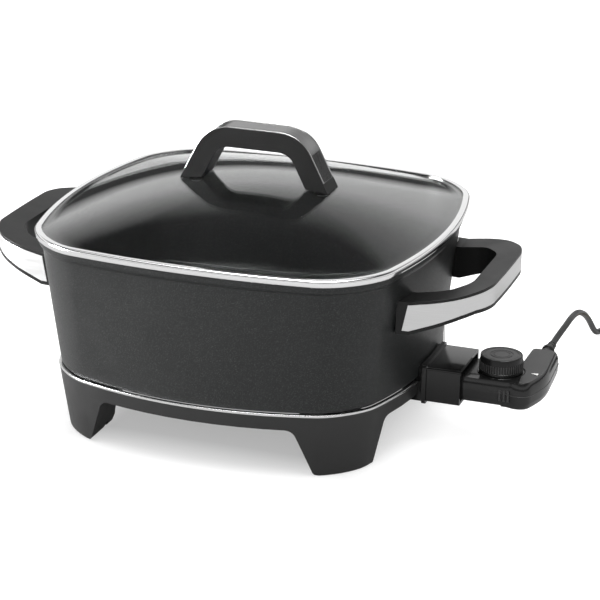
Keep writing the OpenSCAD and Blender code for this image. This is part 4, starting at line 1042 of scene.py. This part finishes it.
def make_relief():
    mid, low, _ = middle("strain_relief")
    bm = turned((mid.x, low.y + RELIEF_IN, mid.z), RELIEF, axis="Y", sides=40)
    add_mesh("cord_relief", bm, "controller", [CORD_PVC], ["strain_relief"], 35)


make_relief()
print("relief built")

# %% [markdown]
# ## Screws
# All the screws are alike but for their sizes: a round head with a cross recess and a plain shank.
# A node tree stacks the solids, cuts the cross and sets one at each point; each set is one piece.

# %% Node tree: screws at points
def screw_tree():
    g, i, o = new_tree("screws_at_points", "Screws", Geometry=["Seats"], Material=["Finish"],
                       Float=["Head Radius", "Head Height", "Shank Radius", "Shank Length"])
    radius, height = i.outputs["Head Radius"], i.outputs["Head Height"]

    def times(value, share):
        return maths(g, "MULTIPLY", value, share)

    def raised(mesh, z):
        up = node(g, "ShaderNodeCombineXYZ", {2: z})
        return node(g, "GeometryNodeTransform", {"Geometry": mesh.outputs["Mesh"],
                                                 "Translation": up.outputs[0]}).outputs[0]

    def disc(r_low, r_high, z, h):
        return raised(node(g, "GeometryNodeMeshCone", {
            "Vertices": 24, "Radius Top": r_high, "Radius Bottom": r_low, "Depth": h}), z)

    def bar(long_way):
        sizes = (times(radius, 1.2), times(radius, 0.26))
        size = node(g, "ShaderNodeCombineXYZ", {0: sizes[not long_way], 1: sizes[long_way],
                                                2: height})
        return raised(node(g, "GeometryNodeMeshCube", {"Size": size.outputs[0]}),
                      times(height, -1.0))

    low, step = times(height, -1.0), times(height, -0.45)
    parts = [disc(radius, radius, step, times(height, 0.45)),
             disc(times(radius, 0.72), radius, low, times(height, 0.56)),
             disc(i.outputs["Shank Radius"], i.outputs["Shank Radius"], step,
                  maths(g, "SUBTRACT", i.outputs["Shank Length"], step))]
    solid = node(g, "GeometryNodeMeshBoolean", operation="UNION")
    for part in parts:
        g.links.new(part, solid.inputs["Mesh 2"])
    cross = node(g, "GeometryNodeMeshBoolean", operation="UNION")
    for part in (bar(True), bar(False)):
        g.links.new(part, cross.inputs["Mesh 2"])
    screw = node(g, "GeometryNodeMeshBoolean", {"Mesh 1": solid.outputs[0],
                 "Mesh 2": cross.outputs[0]}, operation="DIFFERENCE")
    many = node(g, "GeometryNodeInstanceOnPoints", {"Points": i.outputs["Seats"],
                                                    "Instance": screw.outputs[0]})
    return finished(g, many.outputs[0], i, o)


SCREW_TREE = screw_tree()
print("tree ready:", SCREW_TREE.name)


# %% Screws
def set_screws(node_name, name, body, head=4.0, head_h=2.4, shank=2.0, spots=None):
    """Replaces a set of CAD screws; their places are the corners of the set's box."""
    _, low, high = middle(node_name)
    xs, ys = [sorted({round(a + head, 3), round(b - head, 3)})
              for a, b in zip(low[:2], high[:2])]
    seat = low.z + head_h
    spots = spots or [(x, y) for x in xs for y in ys]
    points = [Vector((x, y, seat)) * MM for x, y in spots]
    o = grown_by_nodes(name, SCREW_TREE, points, [], body, "screw_steel", [node_name], 35,
                       Head_Radius=head * MM, Head_Height=head_h * MM, Shank_Radius=shank * MM,
                       Shank_Length=(high.z - seat) * MM, Finish=SCREW_STEEL)
    print(name, len(spots), "screws,", len(o.data.polygons), "faces")


for part in ("base", "handle", "guard"):
    set_screws(part + "_screws", part + "_screw_set", "skillet")
set_screws("lid_handle_screws", "lid_screw_set", "lid")
DIAL_MIDDLE = middle("dial_knob")[0]
set_screws("controller_screws", "controller_screw_set", "controller", 2.8, 1.8, 1.5,
           [(DIAL_MIDDLE.x - 12, -15.5), (DIAL_MIDDLE.x - 12, 15.5), (DIAL_MIDDLE.x + 21.5, 39)])

# %% [markdown]
# ## Finishes of the CAD pieces that stay
# Small and hidden parts keep their CAD shapes. Some are merged copies, so that their round faces
# shade smoothly; the rest only get a better finish.

# %% Refined small parts
for part, name, body, slot, finish, width in (
        ("lid_handle_gaskets", "glass_gaskets", "lid", "black_rubber", RUBBER, 0),
        ("lid_handle_washers", "glass_washers", "lid", "black_rubber", RUBBER, 0.25),
        ("pilot_lens", "pilot_window", "controller", "lens_white", LENS, 0.15),
        ("heating_element", "heating_tube", "skillet", "heater_sheath", HEATER_METAL, 0),
        ("probe_well", "probe_casting", "skillet", "cast_aluminium", CAST_METAL, 0.4),
        ("pin_insulators", "ceramic_sleeves", "skillet", "ceramic", CERAMIC, 0.3),
        ("terminal_pins", "contact_pins", "skillet", "contact_metal", BRASS, 0.5),
        ("sensor_probe", "heat_sensor", "controller", "screw_steel", SCREW_STEEL, 0.5)):
    refine(part, name, body, finish, width, 2, 40)
print("small parts refined")

# %% Finishes for carried-over nodes
KEPT = {
    BRASS: ["contact_sleeves", "switch_contacts"], CAST_METAL: ["thermostat_frame"],
    SCREW_STEEL: ["dial_shaft", "dial_clip", "bimetal_blade"], LAMP_GLASS: ["pilot_lamp"]}
for finish, names in KEPT.items():
    for n in names:
        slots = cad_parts[n].data.materials
        slots.clear()
        slots.append(finish)
print("kept nodes finished:", sum(len(v) for v in KEPT.values()))

# %% [markdown]
# ## Floor, background and light
# The floor is a plain sweep. To the camera and through glass it glows up to white round the pan,
# and less under it: a painted shadow, which deepens the real shadow there, while the glow round
# it washes real shadows out. Mirroring surfaces see it dark. The world is white to the camera;
# surfaces mirror a pale panel low down, a ceiling and a small lamp overhead. Three softboxes and
# an even sky light the object at a plain level.


# %% Floor
# The glow under the pan, the first glow level here, is lower than the glow round it: a painted
# shadow. It fades between the two edges, given as distances from the pan's middle
FLOOR_COLOUR, PAINTED_SHADOW_GLOW, GLOW_ROUND = 0.45, 0.38, 0.86
NEAR_SHINE, FAR_SHINE = 0.04, 0.08
PAINTED_SHADOW_EDGES, SHINE_EDGES, FLOOR_R = (0.085, 0.155), (0.7, 1.0), 12


def make_floor():
    m = bpy.data.materials.new("white_sweep")
    t = cleared(m)
    out = node(t, "ShaderNodeOutputMaterial")
    rays = node(t, "ShaderNodeLightPath")
    seen = maths(t, "MAXIMUM", rays.outputs["Is Camera Ray"], rays.outputs["Is Transmission Ray"])
    spot = object_point(t)
    flat = node(t, "ShaderNodeSeparateXYZ", {0: spot})
    past_x = maths(t, "ABSOLUTE", maths(t, "SUBTRACT", flat.outputs["X"], PAN_X * MM))
    past = maths(t, "MAXIMUM", past_x, maths(t, "ABSOLUTE", flat.outputs["Y"]))
    # Painted shadow: the glow drops from its level round the pan to the lower level under it
    glow = ranged(t, past, *PAINTED_SHADOW_EDGES, PAINTED_SHADOW_GLOW, GLOW_ROUND)
    glow = maths(t, "MULTIPLY", seen, glow)
    away = node(t, "ShaderNodeVectorMath", {0: spot}, operation="LENGTH")
    shine = ranged(t, away.outputs["Value"], *SHINE_EDGES, NEAR_SHINE, FAR_SHINE)
    glow = maths(t, "MULTIPLY_ADD", rays.outputs["Is Glossy Ray"], shine, glow)
    d = node(t, "ShaderNodeBsdfDiffuse", {"Color": rgba(FLOOR_COLOUR)})
    e = node(t, "ShaderNodeEmission", {"Color": (1, 1, 1, 1), "Strength": glow})
    both = node(t, "ShaderNodeAddShader", {0: d.outputs[0], 1: e.outputs[0]})
    t.links.new(both.outputs[0], out.inputs[0])
    bm = bmesh.new()
    bmesh.ops.create_circle(bm, cap_ends=True, segments=64, radius=FLOOR_R)
    mesh = as_mesh("floor", bm)
    mesh.materials.append(m)
    add_object("floor", mesh)


make_floor()

# %% World and softboxes
HORIZON, PANEL, GAP_ABOVE, CEILING, SKY_LIGHT = 0.05, 0.95, 0.05, 1.5, 0.46
LAMP = 9.0
# Each step between two of these lies over a range of how far up a ray points
DOWN_TO, PANEL_IN, PANEL_OUT = 0.02, (0.09, 0.19), (0.34, 0.62)
CEILING_IN, LAMP_IN = (0.80, 0.90), (0.925, 0.945)


def make_world():
    w = bpy.data.worlds.new("studio")
    t = cleared(w)
    out = node(t, "ShaderNodeOutputWorld")
    rays = node(t, "ShaderNodeLightPath")
    ray_way = node(t, "ShaderNodeTexCoord").outputs["Generated"]
    up = node(t, "ShaderNodeSeparateXYZ", {0: ray_way}).outputs["Z"]
    level_or_down = maths(t, "LESS_THAN", up, DOWN_TO)
    through = maths(t, "MULTIPLY", rays.outputs["Is Transmission Ray"], level_or_down)
    seen = maths(t, "MAXIMUM", rays.outputs["Is Camera Ray"], through)
    low = ranged(t, up, *PANEL_IN, HORIZON, PANEL)
    low = maths(t, "MINIMUM", low, ranged(t, up, *PANEL_OUT, PANEL, GAP_ABOVE))
    high = ranged(t, up, *CEILING_IN, 0.0, CEILING)
    lamp = maths(t, "MULTIPLY", ranged(t, up, *LAMP_IN, 0.0, LAMP), rays.outputs["Is Glossy Ray"])
    level = maths(t, "ADD", maths(t, "ADD", low, high), lamp)
    diffuse = maths(t, "MULTIPLY", rays.outputs["Is Diffuse Ray"], SKY_LIGHT)
    level = maths(t, "MAXIMUM", level, maths(t, "MAXIMUM", seen, diffuse))
    b = node(t, "ShaderNodeBackground", {"Color": (1, 1, 1, 1), "Strength": level})
    t.links.new(b.outputs[0], out.inputs[0])
    bpy.context.scene.world = w


def softbox(name, at, size, watts, mirrored, diffuse=True):
    data = bpy.data.lights.new(name, "AREA")
    data.shape, data.size, data.size_y, data.energy = "RECTANGLE", size[0], size[1], watts
    o = add_object(name, data)
    o.location = at
    o.rotation_euler = (AIM - Vector(at)).to_track_quat("-Z", "Y").to_euler()
    o.visible_camera = False
    o.visible_glossy = mirrored
    o.visible_diffuse = diffuse


make_world()
AIM = Vector((0, 0, 0.08))
softbox("overhead", (0.1, -0.1, 2.4), (2.4, 2.4), 60, mirrored=False)
softbox("left_side", (-2.3, -1.0, 0.7), (1.4, 1.4), 330, mirrored=True, diffuse=False)
softbox("front_fill", (0.6, -2.6, 1.2), (1.6, 1.0), 16, mirrored=False)
print("studio ready")
